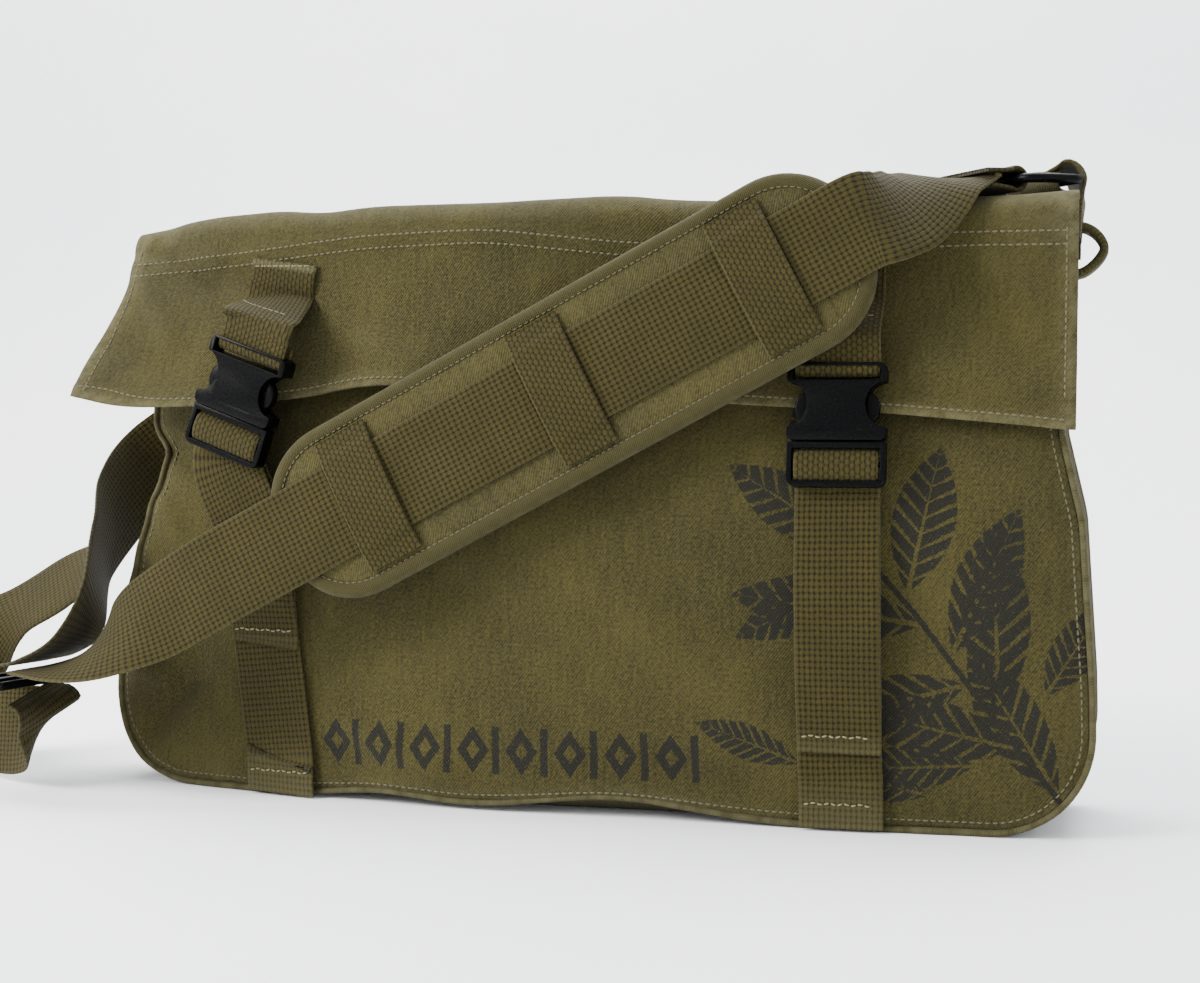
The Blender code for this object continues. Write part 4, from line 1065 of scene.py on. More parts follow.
def moulded(name, outline, low, high, matrix, cutters=(), bevel=0.0012, crown=0.0, segments=3):
    """A moulded part: an outline of (x, z) points given depth along Y, cut, with every edge rounded."""
    data = bmesh.new()
    face = data.faces.new([data.verts.new((x, low, z)) for x, z in outline])
    grown = bmesh.ops.extrude_face_region(data, geom=[face])
    lifted = [item for item in grown["geom"] if isinstance(item, bmesh.types.BMVert)]
    bmesh.ops.translate(data, vec=(0, high - low, 0), verts=lifted)
    bmesh.ops.recalc_face_normals(data, faces=data.faces)
    if data.calc_volume(signed=True) < 0:
        bmesh.ops.reverse_faces(data, faces=data.faces)
    part = object_from(data, name)
    helpers = []
    for number, (operation, x0, x1, z0, z1, y0, y1) in enumerate(cutters):
        box = bmesh.new()
        bmesh.ops.create_cube(box, size=1.0)
        for vert in box.verts:
            vert.co.x = x0 if vert.co.x < 0 else x1
            vert.co.y = y0 if vert.co.y < 0 else y1
            vert.co.z = z0 if vert.co.z < 0 else z1
        helper = object_from(box, f"{name}_cutter_{number}")
        helpers.append(helper)
        change = part.modifiers.new("cut", "BOOLEAN")
        change.operation, change.object, change.solver = operation, helper, "EXACT"
    if bevel:
        rounding = part.modifiers.new("bevel", "BEVEL")
        rounding.width, rounding.segments, rounding.limit_method = bevel, segments, "ANGLE"
        rounding.angle_limit = BEVEL_ANGLE
        rounding.use_clamp_overlap = True
        rounding.harden_normals = False
    graph = bpy.context.evaluated_depsgraph_get()
    mesh = bpy.data.meshes.new_from_object(part.evaluated_get(graph))
    for old in [part, *helpers]:
        bpy.data.objects.remove(old, do_unlink=True)
    points = [vert.co.copy() for vert in mesh.vertices]
    half = max(abs(p.x) for p in points)
    if crown:
        for point in points:
            if point.y < 0:
                point.y -= crown * (1 - (point.x / half) ** 2)
    uvs = [(p.x + p.y, p.z + p.y * 0.3) for p in points]
    faces = [tuple(p.vertices) for p in mesh.polygons]
    made = make_piece(name, [matrix @ p for p in points], faces, uvs, PLASTIC_FINISH)
    made.data.set_sharp_from_angle(angle=SHARP_ANGLE)
    return made


def object_from(data, name):
    mesh = bpy.data.meshes.new(name)
    data.to_mesh(mesh)
    data.free()
    made = bpy.data.objects.new(name, mesh)
    bpy.context.scene.collection.objects.link(made)
    return made


def waist_outline(half, top, bottom):
    """Right half of the receptacle's outline: ears with a concave waist between."""
    points = [(half - 0.0020, bottom), (half - 0.0004, bottom + 0.0010)]
    points += [(half, bottom + 0.0030), (half, bottom + 0.0060)]
    middle = (bottom + 0.0060 + top - 0.0085) / 2
    reach = (top - 0.0085) - middle
    for step in range(13):
        angle = math.radians(-90 + 180 * step / 12)
        x = half - 0.0006 - (half - WAIST_HALF) * math.cos(angle)
        points.append((x, middle + reach * math.sin(angle)))
    points += [(half, top - 0.0080), (half, top - 0.0030)]
    points += [(half - 0.0008, top - 0.0008), (half - 0.0030, top)]
    return points


def buckle(side):
    matrix = closure_matrix(side)
    top, bottom = RECEPTACLE_TOP, RECEPTACLE_TOP - RECEPTACLE_LENGTH
    half_depth = RECEPTACLE_DEPTH / 2
    right = waist_outline(BUCKLE_WIDTH / 2, top, bottom)
    outline = right + [(-x, z) for x, z in reversed(right)]
    half = BUCKLE_WINDOW / 2
    cuts = (
        ("DIFFERENCE", -half, half, -0.0056, 0.0008, -0.02, 0.02),
        ("DIFFERENCE", -0.0180, 0.0180, bottom - 0.01, -0.0080, -0.0032, 0.0032),
        ("UNION", -half - 0.001, half + 0.001, -0.0015, 0.0015, -0.0015, 0.0015),
        ("DIFFERENCE", -0.0105, 0.0105, bottom + 0.0042, bottom + 0.0050, -0.02, -0.0046),
    )
    shape = {"bevel": 0.0011, "crown": 0.0012}
    body_part = moulded(f"buckle_socket_{side}", outline, -half_depth, half_depth, matrix, cuts, **shape)
    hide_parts(f"receptacle_{side}")
    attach(body_part, "flap")
    body_name = f"buckle_{side}"
    frame_top = bottom - 0.0006
    frame_bottom = frame_top - FRAME_LENGTH
    edge, chamfer = BUCKLE_WIDTH / 2, FRAME_CHAMFER
    frame_outline = [(edge, frame_top), (edge, frame_bottom + chamfer)]
    for step in range(1, 7):
        angle = math.radians(90 * step / 6)
        x = edge - chamfer * (1 - math.cos(angle))
        frame_outline.append((x, frame_bottom + chamfer * (1 - math.sin(angle))))
    frame_outline += [(-x, z) for x, z in reversed(frame_outline)]
    windows = ((frame_bottom + 0.0026, frame_bottom + 0.0086), (frame_bottom + 0.0112, frame_top - 0.0028))
    cuts = [("DIFFERENCE", -half, half, low, high, -0.02, 0.02) for low, high in windows]
    cuts.append(("DIFFERENCE", -half, half, frame_bottom + 0.0080, frame_bottom + 0.0118, -0.02, -0.0004))
    front, rear = -FRAME_DEPTH / 2, FRAME_DEPTH / 2
    male = moulded(f"buckle_ladder_{side}", frame_outline, front, rear, matrix, cuts, bevel=0.0010)
    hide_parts(f"buckle_frame_{side}")
    guide = [(-0.0025, bottom - 0.0002), (0.0025, bottom - 0.0002), (0.0025, bottom + 0.0190)]
    guide += [(0.0, bottom + 0.0200), (-0.0025, bottom + 0.0190)]
    tongue = moulded(f"buckle_guide_{side}", guide, -0.0022, 0.0022, matrix, bevel=0.0006)
    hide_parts(f"guide_{side}")
    arm = [
        (0.0105, 0.0), (0.0150, 0.0), (0.0152, 0.0060), (0.0166, 0.0085), (0.0182, 0.0105), (0.0190, 0.0135),
        (0.0188, 0.0165), (0.0176, 0.0190), (0.0155, 0.0215), (0.0120, 0.0215), (0.0128, 0.0140),
        (0.0112, 0.0060),
    ]
    for name, sign in (("outer", 1), ("inner", -1)):
        direction = sign if side == "right" else -sign
        outline = [(direction * x, bottom + z) for x, z in arm]
        prong = moulded(f"buckle_prong_{side}_{name}", outline, -0.0026, 0.0026, matrix, bevel=0.0009)
        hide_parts(f"prong_{side}_{name}")
        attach(prong, f"prong_{side}_{name}")
    centre = frame_bottom + 0.0098
    across = matrix.to_3x3() @ Vector((1, 0, 0))
    path = [(0.0012, -0.0078), (-0.0018, -0.0060), (-0.0032, -0.0028)]
    path += [(-0.0034, 0.0010), (-0.0026, 0.0042), (0.0006, 0.0066)]
    stations = [(matrix @ Vector((0, y, centre + z)), across) for y, z in path]
    width = CLOSURE_WEBBING - 0.0004
    fold = web(f"fold_{side}", stations, width, RIB_FINISH, spacing=0.0010, thickness=0.0020)
    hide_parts(f"strap_fold_{side}")
    for piece in (male, tongue, fold):
        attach(piece, body_name)


def flap_tab(side, on_flap):
    matrix = closure_matrix(side)
    bar = CLOSURES[side]["bar"]
    loop_y = 0.0030
    loop = [(-loop_y - 0.0006, 0.017), (-loop_y - 0.0006, 0.010), (-loop_y, 0.0045), (-loop_y, 0.0005)]
    loop += [(-0.0021, -0.0026), (0, -0.0034), (0.0021, -0.0026), (loop_y, 0.0005), (loop_y, 0.007)]
    bar_across = matrix.to_3x3() @ Vector((1, 0, 0))
    top_x = bar.x + 0.3 * (CLOSURE_TOP - bar.z) * math.tan(CLOSURES[side]["tilt"])
    stations = []
    for share in (0.0, 0.2, 0.42, 0.62):
        z = CLOSURE_TOP + (bar.z + 0.016 - CLOSURE_TOP) * share
        x = top_x + (bar.x - top_x) * share
        left_place, _ = on_flap.from_front(x - 0.015, z)
        right_place, _ = on_flap.from_front(x + 0.015, z)
        place, normal = on_flap.from_front(x, z)
        y = min(place.y, (left_place.y + right_place.y) / 2) - 0.0016
        stations.append((Vector((x, y, z)), (right_place - left_place).normalized()))
    stations += [(matrix @ Vector((0, y, z)), bar_across) for y, z in loop]
    tab = web(f"tab_{side}", stations, CLOSURE_WEBBING, RIB_FINISH, wear=lambda s: 0.9 if s < 0.03 else 0.0)
    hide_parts(f"flap_tab_{side}")
    surface = Surface(tab)
    rows = []
    for share in (0.07, 0.80):
        z = CLOSURE_TOP + (bar.z + 0.016 - CLOSURE_TOP) * share
        x = top_x + (bar.x - top_x) * share
        slope = math.tan(CLOSURES[side]["tilt"]) * share
        offsets = np.linspace(-TACK_REACH, TACK_REACH, 16)
        rows.append([surface.from_front(x + a, z - a * slope) for a in offsets])
    sewn = stitches(f"tab_stitching_{side}", rows, THREAD_PALE, pitch=0.0036, length=0.0026)
    for piece in (tab, sewn):
        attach(piece, "flap")


def lower_strap(side):
    matrix = closure_matrix(side)
    anchor_x, tack_z = ANCHOR_X[side], TACK_Z[side]

    def behind_frame(below, further):
        return matrix @ Vector((0, FRAME_DEPTH / 2 + 0.0016 + further, -below))

    def on_panel(x, z, away):
        return Vector((x, front_surface(x, z) - 0.0018 - away, z))

    slope = (front_surface(anchor_x + 0.01, 0.05) - front_surface(anchor_x - 0.01, 0.05)) / 0.02
    low_across = Vector((1, slope, 0)).normalized()
    top_across = matrix.to_3x3() @ Vector((1, 0, 0))
    under_top = [behind_frame(below, LAYER_OFFSET[side]) for below in (0.058, 0.046)]
    tail_top = [behind_frame(below, 0.0) for below in (0.058, 0.046)]
    mid_x = (anchor_x + under_top[1].x) / 2
    tack_x = anchor_x + (mid_x - anchor_x) * 0.6
    under = [
        on_panel(anchor_x, 0.0015, 0.0006),
        on_panel(anchor_x, 0.0080, 0.0012),
        on_panel(anchor_x, 0.0150, 0.0010),
        on_panel(anchor_x, 0.0190, 0.0020),
        on_panel(anchor_x, 0.0230, 0.0012),
        on_panel(tack_x, tack_z - 0.004, 0.0012),
        on_panel(mid_x, (tack_z + under_top[1].z) / 2, 0.0030),
        *under_top,
    ]
    tail = [
        on_panel(tack_x, tack_z - 0.0075, 0.0032),
        on_panel(tack_x, tack_z + 0.0020, 0.0036),
        on_panel(mid_x, (tack_z + tail_top[1].z) / 2, 0.0090),
        *tail_top,
    ]
    pieces = []
    for name, node, points, worn in (
        (f"anchor_web_{side}", f"lower_strap_{side}", under, lambda s: 0.6 * max(1 - s / 0.16, 0.0)),
        (f"tail_web_{side}", f"strap_tail_{side}", tail, lambda s: 0.4 * max(1 - s / 0.08, 0.0)),
    ):
        last = len(points) - 1
        stations = [(p, low_across.lerp(top_across, k / last)) for k, p in enumerate(points)]
        piece = web(name, stations, CLOSURE_WEBBING, WEBBING_FINISH, wear=worn)
        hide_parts(node)
        pieces.append(piece)
    surface = Surface(*pieces)
    rows = []
    for z in (tack_z, 0.0125):
        x_mid = tack_x if z == tack_z else anchor_x
        offsets = np.linspace(-TACK_REACH, TACK_REACH, 20)
        rows.append([surface.from_front(x_mid + a, z + 0.0006 * math.sin(a * 900)) for a in offsets])
    sewn = stitches(f"tack_stitching_{side}", rows, THREAD_PALE, pitch=0.0032, length=0.0024)
    for piece in pieces:
        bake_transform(piece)
    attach(sewn, "root")


# Shoulder strap


def strap_frame():
    along = (PAD_LOW_END - PAD_TOP_END).normalized()
    into = along.cross(Vector((0, 0.12, 1))).normalized()
    if into.y < 0:
        into = -into
    across = along.cross(into)
    return Matrix.Translation(PAD_TOP_END) @ Matrix((along, into, across)).transposed().to_4x4()


def ring_directions():
    turn = Matrix.Rotation(RING_YAW, 3, "Z")
    return turn @ Vector((0, 1, 0)), turn @ Vector((-1, 0, 0))


def shoulder_strap():
    placed = strap_frame()
    across = placed.to_3x3() @ Vector((0, 0, 1))
    low = placed @ Vector((STRAIGHT_LENGTH, 0, 0))
    bar, bow = ring_directions()
    rise = Vector((0, 0, 0.0010))
    leading = [
        (RING_RIGHT + bow * (RING_DEPTH + 0.0060) + rise, -bar),
        (RING_RIGHT + bow * (RING_DEPTH + 0.0145) + rise, -bar),
        (Vector((0.1765, -0.0165, 0.2925)), Vector((0.56, -0.75, -0.30))),
        (Vector((0.1700, -0.0300, 0.2860)), Vector((0.54, -0.55, -0.62))),
        (Vector((0.1630, -0.0440, 0.2780)), Vector((0.50, -0.28, -0.82))),
        (Vector((0.1545, -0.0535, 0.2740)), Vector((0.48, -0.13, -0.87))),
    ]
    shares = (-0.095, 0.0, 0.25, 0.5, 0.75, 0.95, 1.0)
    straight = [(placed @ Vector((STRAIGHT_LENGTH * share, 0, 0)), across) for share in shares]
    trailing = [
        (low + Vector((-0.030, 0.0010, -0.0170)), Vector((0.48, -0.25, -0.84))),
        (Vector((-0.2080, -0.0690, 0.0810)), Vector((0.40, -0.60, -0.68))),
        (Vector((-0.2330, -0.0610, 0.0680)), Vector((0.05, -0.96, -0.28))),
        (Vector((-0.2570, -0.0510, 0.0620)), -BAR_DIRECTION),
    ]
    to_ring = Vector((1, 0, 0))
    near, far = RING_LEFT.y - RING_GRIP, RING_LEFT.y + RING_GRIP
    back = [
        (SLIDER_CENTRE + Vector((0, 0, 0.0080)), BAR_DIRECTION),
        (Vector((-0.2590, -0.0470, 0.0665)), Vector((0.20, 0.98, 0.0))),
        (Vector((-0.2430, -0.0460, 0.0760)), Vector((0.0, 0.98, -0.1))),
        (Vector((-0.2370, -0.0380, 0.0930)), Vector((-0.2, 0.90, -0.4))),
        (Vector((-0.2470, -0.0100, 0.1180)), Vector((-0.20, 0.80, -0.55))),
        (Vector((-0.2515, 0.0200, 0.1400)), Vector((0.20, 0.85, -0.45))),
        (Vector((-0.2420, 0.0455, 0.1620)), Vector((0.70, 0.60, -0.35))),
        (Vector((-0.2180, 0.0510, 0.1790)), Vector((0.98, 0.10, -0.15))),
        (Vector((-0.1970, near + 0.0010, 0.1945)), to_ring),
        (Vector((RING_LEFT.x, near, 0.2050)), to_ring),
        (Vector((RING_LEFT.x, near, 0.2150)), to_ring),
    ]
    loop = [
        (Vector((-0.2690, -0.0435, 0.0480)), BAR_DIRECTION),
        (Vector((-0.2625, -0.0425, 0.0430)), Vector((0.24, 0.96, 0.0))),
        (Vector((-0.2610, -0.0400, 0.0355)), Vector((0.22, 0.88, 0.25))),
        (Vector((-0.2700, -0.0360, 0.0300)), Vector((0.15, 0.50, 0.85))),
        (Vector((-0.2870, -0.0310, 0.0265)), Vector((0.08, 0.15, 0.98))),
        (Vector((-0.3120, -0.0220, 0.0262)), Vector((0, 0, 1))),
        (Vector((-0.3380, -0.0080, 0.0300)), Vector((0, 0, 1))),
        (Vector((-0.3520, 0.0120, 0.0420)), Vector((0, 0.1, 1))),
        (Vector((-0.3480, 0.0320, 0.0600)), Vector((0, 0.3, 0.95))),
        (Vector((-0.3280, 0.0440, 0.0780)), Vector((0, 0.7, 0.71))),
        (Vector((-0.3000, 0.0500, 0.0960)), Vector((0, 0.7, 0.71))),
        (Vector((-0.2740, 0.0580, 0.1180)), Vector((0.3, 0.75, 0.5))),
        (Vector((-0.2520, 0.0640, 0.1440)), Vector((0.75, 0.6, 0.2))),
        (Vector((-0.2260, 0.0640, 0.1690)), Vector((0.98, 0.2, 0))),
        (Vector((-0.1980, far + 0.0010, 0.1915)), to_ring),
        (Vector((RING_LEFT.x, far, 0.2040)), to_ring),
        (Vector((RING_LEFT.x, far, 0.2150)), to_ring),
    ]
    for name, node, stations in (
        ("strap_over_flap", "strap_front", leading + straight + trailing),
        ("strap_to_ring", "strap_return", back),
        ("strap_long_loop", "strap_loop", loop),
    ):
        piece = web(name, stations, SHOULDER_WEBBING, WEBBING_FINISH)
        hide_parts(node)
        if node == "strap_front":
            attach(piece, "shoulder_strap")
        else:
            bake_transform(piece)
    rod_z = RING_LEFT.z - RING_DEPTH
    bend = [Vector((RING_LEFT.x, near, 0.2155)), Vector((RING_LEFT.x, near, rod_z - 0.0015))]
    for step in range(1, 6):
        angle = math.radians(180 - 180 * step / 6)
        reach = Vector((0, RING_GRIP * math.cos(angle), RING_GRIP * math.sin(angle)))
        bend.append(Vector((RING_LEFT.x, RING_LEFT.y, rod_z)) + reach)
    bend += [Vector((RING_LEFT.x, far, rod_z - 0.0015)), Vector((RING_LEFT.x, far, 0.2155))]
    stations = [(p, to_ring) for p in bend]
    left_end = web("strap_round_left_ring", stations, SHOULDER_WEBBING, WEBBING_FINISH, spacing=0.0015)
    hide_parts("strap_end_left")
    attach(left_end, "ring_left")
    rod = RING_RIGHT + bow * RING_DEPTH
    wrap = []
    for step in range(9):
        angle = math.radians(128 - 256 * step / 8)
        wrap.append(rod + (Vector((0, 0, math.sin(angle))) - bow * math.cos(angle)) * 0.0052)
    upper, lower = Vector((0, 0, -0.0005)), Vector((0, 0, 0.0012))
    ends = [wrap[0] + bow * 0.012 + upper, *wrap, wrap[-1] + bow * 0.010 + lower]
    stations = [(p, bar) for p in ends]
    right_end = web("strap_round_right_ring", stations, SHOULDER_WEBBING, WEBBING_FINISH, spacing=0.0015)
    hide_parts("strap_end_right")
    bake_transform(right_end)


def d_ring(name, node, origin, bar, bow):
    squareness = 0.40
    path = [origin + bar * (RING_HALF_LENGTH * k / 6) for k in range(-6, 7)]
    for step in range(1, 36):
        angle = math.pi * step / 36
        spread = math.copysign(abs(math.cos(angle)) ** squareness, math.cos(angle))
        reach = RING_DEPTH * math.sin(angle) ** squareness
        path.append(origin + bar * RING_HALF_LENGTH * spread + bow * reach)
    path.append(path[0])
    normal = bar.cross(bow)
    section = round_section(RING_ROD, 14)
    sides = [normal] * len(path)
    ring = sweep(name, path, sides, section, PLASTIC_FINISH, closed=True, wobble=0.0)
    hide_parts(node)
    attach(ring, node)


def rings_and_tabs():
    across = Vector((0, 1, 0))
    bar, bow = ring_directions()
    d_ring("d_ring_right", "ring_right", RING_RIGHT, bar, bow)
    along_bag = Vector((1, 0, 0))
    d_ring("d_ring_left", "ring_left", RING_LEFT, along_bag, Vector((0, 0, -1)))
    stations = [
        (Vector((0.2372, 0.0230, 0.2680)), across),
        (Vector((0.2380, 0.0230, 0.2790)), across),
        (Vector((0.2386, 0.0225, 0.2870)), across),
        (Vector((0.2376, 0.0225, 0.2935)), across.lerp(bar, 0.25).normalized()),
        (Vector((0.2336, 0.0225, 0.2980)), across.lerp(bar, 0.55).normalized()),
        (Vector((0.2280, 0.0228, 0.2996)), across.lerp(bar, 0.85).normalized()),
    ]
    round_bar = ((-0.0010, 0.2984), (-0.0046, 0.2955), (-0.0045, 0.2908), (-0.0010, 0.2886), (0.0030, 0.2886))
    for away, z in round_bar:
        stations.append((Vector((RING_RIGHT.x, RING_RIGHT.y, z)) - bow * away, bar))
    options = {"thickness": 0.0022, "spacing": 0.0015, "wear": lambda share: 0.35}
    ear = web("ring_ear_right", stations, CLOSURE_WEBBING + 0.004, CANVAS_FINISH, **options)
    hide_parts("ring_tab_right")
    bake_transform(ear)
    wrap = [(0.0392, 0.2300), (0.0390, 0.2480), (0.0405, 0.2575), (0.0450, 0.2618), (0.0505, 0.2618)]
    wrap += [(0.0548, 0.2585), (0.0550, 0.2540), (0.0515, 0.2510), (0.0460, 0.2515)]
    stations = [(Vector((RING_LEFT.x, y, z)), along_bag) for y, z in wrap]
    ear = web("ring_ear_left", stations, CLOSURE_WEBBING, CANVAS_FINISH, thickness=0.0020, spacing=0.0015)
    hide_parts("ring_tab_left")
    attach(ear, "root")
    loop = [(0.2352, 0.2742), (0.2400, 0.2736), (0.2448, 0.2708), (0.2482, 0.2662), (0.2484, 0.2622)]
    loop += [(0.2450, 0.2572), (0.2400, 0.2532), (0.2352, 0.2518)]
    stations = [(Vector((x, 0.0260, z)), across) for x, z in loop]
    options = {"thickness": 0.0042, "spacing": 0.0015, "wear": lambda share: 0.1}
    side = web("side_canvas_loop", stations, 0.020, CANVAS_FINISH, **options)
    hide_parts("side_loop")
    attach(side, "root")


def slider():
    across = -BAR_DIRECTION
    along = Vector((0, 0, 1)).cross(across)
    turned = Matrix((along, Vector((0, 0, 1)), along.cross(Vector((0, 0, 1))))).transposed().to_4x4()
    half = SHOULDER_WEBBING / 2 + 0.0045
    outline = []
    side, end = 0.0115, half - 0.003
    for cx, cz, start in ((side, end, 0), (-side, end, 90), (-side, -end, 180), (side, -end, 270)):
        for step in range(5):
            angle = math.radians(start + 90 * step / 4)
            outline.append((cx + 0.003 * math.cos(angle), cz + 0.003 * math.sin(angle)))
    reach = SHOULDER_WEBBING / 2 + 0.001
    slots = ((-0.0110, -0.0020), (0.0020, 0.0110))
    cuts = [("DIFFERENCE", low, high, -reach, reach, -0.02, 0.02) for low, high in slots]
    matrix = Matrix.Translation(SLIDER_CENTRE) @ turned
    piece = moulded("tri_glide", outline, -0.0020, 0.0020, matrix, cuts, bevel=0.0009)
    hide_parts("slider_frame")
    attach(piece, "shoulder_strap")


# Shoulder pad


def rounded_outline(length, width, radius, per_corner=14, per_side=26):
    """A rectangle with round corners as (x, z) points in order, closely spaced on its long sides too."""
    corners = (
        (length / 2 - radius, width / 2 - radius, 0),
        (-length / 2 + radius, width / 2 - radius, 90),
        (-length / 2 + radius, -width / 2 + radius, 180),
        (length / 2 - radius, -width / 2 + radius, 270),
    )
    points = []
    for number, (cx, cz, start) in enumerate(corners):
        for step in range(per_corner + 1):
            angle = math.radians(start + 90 * step / per_corner)
            points.append((cx + radius * math.cos(angle), cz + radius * math.sin(angle)))
        if number in (0, 2):
            nx = corners[number + 1][0]
            nz = corners[number + 1][1] + math.copysign(radius, cz)
            x0, z0 = points[-1]
            for k in range(1, per_side):
                points.append((x0 + (nx - x0) * k / per_side, z0 + (nz - z0) * k / per_side))
    return points


def shoulder_pad():
    matrix = strap_frame() @ Matrix.Translation((PAD_CENTRE, 0, 0))
    middle_y = PAD_FRONT + PAD_THICKNESS / 2
    insets = (0.0, 0.0008, 0.0020, 0.0040, 0.0065, 0.0090, 0.0125, 0.0165, 0.0210, 0.0260, 0.0310, 0.0360)
    points, uvs, wear, faces = [], [], [], []
    rings = []
    order = [(inset, 1) for inset in reversed(insets)] + [(inset, -1) for inset in insets[1:]]
    for inset, face_side in order:
        ring = []
        radius = max(PAD_CORNER - inset, 0.0015)
        for x, z in rounded_outline(PAD_LENGTH - 2 * inset, PAD_WIDTH - 2 * inset, radius):
            swell = 1 - math.exp(-((inset / 0.0055) ** 1.2))
            half = (PAD_THICKNESS / 2 - 0.0012) * swell + 0.0012 * (inset > 0)
            ripple = 0.00045 * rough(x, z, 60, 21) * swell
            ring.append(len(points))
            points.append(matrix @ Vector((x, middle_y + face_side * half + ripple, z)))
            uvs.append((x, z))
            wear.append(0.15)
        rings.append(ring)
    for low, high in zip(rings, rings[1:]):
        for k in range(len(low)):
            after = (k + 1) % len(low)
            faces.append((low[k], low[after], high[after], high[k]))
    faces.append(tuple(reversed(rings[0])))
    faces.append(tuple(rings[-1]))
    cushion = make_piece("pad_foam", points, faces, uvs, CANVAS_FINISH, wear)
    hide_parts("pad_cushion")
    path = rounded_outline(PAD_LENGTH, PAD_WIDTH, PAD_CORNER)
    path.append(path[0])
    centres = [matrix @ Vector((x, middle_y, z)) for x, z in path]
    into = matrix.to_3x3() @ Vector((0, 1, 0))
    tape = [(-0.0028, -0.0062), (-0.0042, -0.0045), (-0.0044, -0.0022)]
    tape += [(-0.0036, -0.0002), (-0.0018, 0.0012), (0.0, 0.0016)]
    tape += [(-a, b) for a, b in reversed(tape[:-1])]
    lining = [(a * 0.62, b - 0.0008 if b > -0.003 else b) for a, b in reversed(tape)]
    edging = sweep_ring("pad_tape", centres, into, tape + lining, TAPE_FINISH)
    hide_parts("pad_binding")
    pieces = [cushion, edging]
    across = matrix.to_3x3() @ Vector((1, 0, 0))
    half, strap_half, lift = KEEPER_SPAN / 2, SHOULDER_WEBBING / 2, WEBBING / 2 + 0.0010
    rising = [(-half, 0.0004), (-half + 0.003, -0.0003), (-strap_half - 0.003, -0.0010)]
    rising += [(-strap_half, -lift - 0.0004), (-strap_half * 0.5, -lift - 0.0012)]
    profile = [*rising, (0.0, -lift - 0.0014), *((-z, y) for z, y in reversed(rising))]
    for number, offset in enumerate(KEEPER_CENTRES, start=1):
        stations = [(matrix @ Vector((offset, y, z)), across) for z, y in profile]
        options = {"spacing": 0.0015, "thickness": 0.0016}
        keeper = web(f"pad_band_{number}", stations, KEEPER_LENGTH, RIB_FINISH, **options)
        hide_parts(f"pad_keeper_{number}")
        pieces.append(keeper)
    surface = Surface(*pieces)
    inset = PAD_STITCH_INSET
    line = []
    for x, z in rounded_outline(PAD_LENGTH - 2 * inset, PAD_WIDTH - 2 * inset, PAD_CORNER - inset):
        line.append(surface.cast(matrix @ Vector((x, -0.03, z)), into))
    rows = [line + line[:1]]
    sewn = stitches("pad_stitching", rows, THREAD_FINISH, pitch=0.0031, length=0.0022, radius=0.00033)
    pieces.append(sewn)
    for piece in pieces:
        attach(piece, "shoulder_pad")


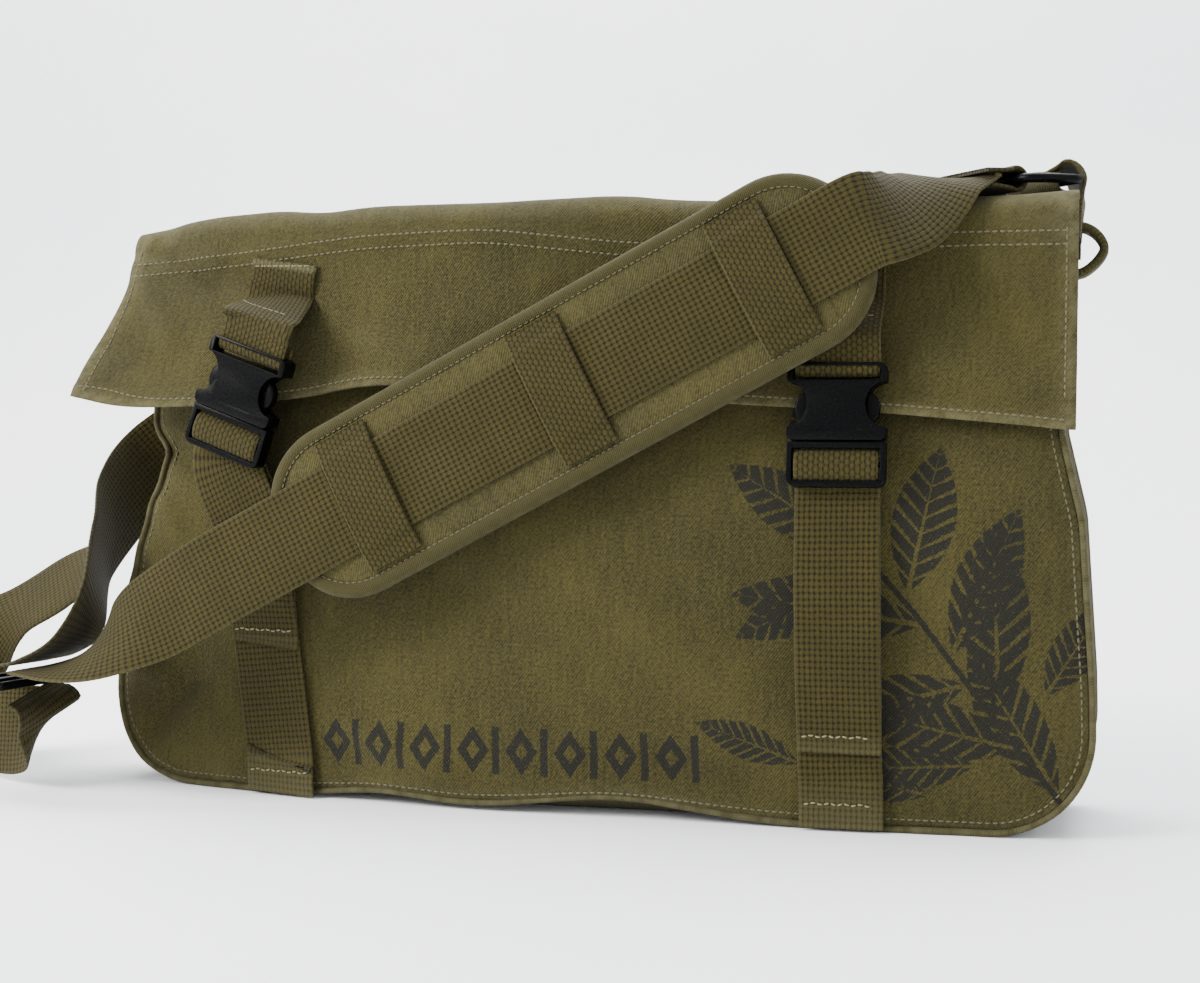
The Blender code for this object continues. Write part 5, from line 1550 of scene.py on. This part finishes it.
def sweep_ring(name, centres, depth_axis, section, finish):
    """A band round a closed line: section points are (depth, outward) from the line."""
    count = len(centres) - 1
    line = np.array([tuple(p) for p in centres[:-1]])
    tangents = np.roll(line, -1, axis=0) - np.roll(line, 1, axis=0)
    tangents /= np.linalg.norm(tangents, axis=1, keepdims=True)
    depth = np.array(tuple(depth_axis))
    outward = np.cross(tangents, depth)
    middle = line.mean(axis=0)
    if np.einsum("ij,ij->i", outward, line - middle).mean() < 0:
        outward = -outward
    lengths = arc_lengths(line)
    around = [0.0]
    for (a0, b0), (a1, b1) in zip(section, section[1:]):
        around.append(around[-1] + math.hypot(a1 - a0, b1 - b0))
    points, uvs, wear, faces = [], [], [], []
    size = len(section)
    for i in range(count):
        for k, (a, b) in enumerate(section):
            points.append(line[i] + depth * a + outward[i] * b)
            uvs.append((around[k], lengths[i]))
            wear.append(0.45 if b > 0.0005 else 0.10)
    for i in range(count):
        after = (i + 1) % count
        for k in range(size):
            following = (k + 1) % size
            faces.append((i * size + k, i * size + following, after * size + following, after * size + k))
    return make_piece(name, points, faces, uvs, finish, wear)


# Studio


def studio():
    """A pale floor that turns up into a wall, a camera and soft lights."""
    profile = [(-1.6, 0.0), (0.55, 0.0)]
    for step in range(1, 13):
        angle = math.radians(90 * step / 12)
        profile.append((0.55 + 0.45 * math.sin(angle), 0.45 * (1 - math.cos(angle))))
    profile.append((1.0, 2.2))
    grid = [[(x, y, z - 0.0002) for x in np.linspace(-2.2, 2.2, 12)] for y, z in profile]
    floor = cloth("floor", grid, 0.004, backdrop_finish(), (0, 0, 1))
    camera = bpy.data.objects.new("camera", bpy.data.cameras.new("camera"))
    bpy.context.scene.collection.objects.link(camera)
    camera.location = CAMERA_AT
    camera.rotation_euler = (CAMERA_TARGET - CAMERA_AT).to_track_quat("-Z", "Y").to_euler()
    camera.data.lens = CAMERA_LENS
    camera.data.sensor_width = 36
    bpy.context.scene.camera = camera
    for name, place, energy, size, colour in (
        ("key", (-1.20, -0.95, 0.95), 60, 0.8, (1.0, 0.985, 0.96)),
        ("fill", (1.30, -0.90, 0.80), 4, 1.2, (0.95, 0.97, 1.0)),
        ("top", (0.0, 0.45, 1.60), 62, 1.4, (1.0, 1.0, 1.0)),
    ):
        light = bpy.data.objects.new(name, bpy.data.lights.new(name, "AREA"))
        light.data.energy, light.data.size, light.data.color = energy, size, colour
        light.location = place
        light.rotation_euler = (Vector((0, 0, 0.12)) - Vector(place)).to_track_quat("-Z", "Y").to_euler()
        bpy.context.scene.collection.objects.link(light)
    world = bpy.data.worlds.new("studio")
    world.use_nodes = True
    world.node_tree.nodes["Background"].inputs["Color"].default_value = (0.95, 0.97, 1.0, 1)
    world.node_tree.nodes["Background"].inputs["Strength"].default_value = 1.35
    bpy.context.scene.world = world


body()
flap_surface = flap()
for closure in CLOSURES:
    flap_tab(closure, flap_surface)
    buckle(closure)
    lower_strap(closure)
shoulder_strap()
rings_and_tabs()
slider()
shoulder_pad()
studio()
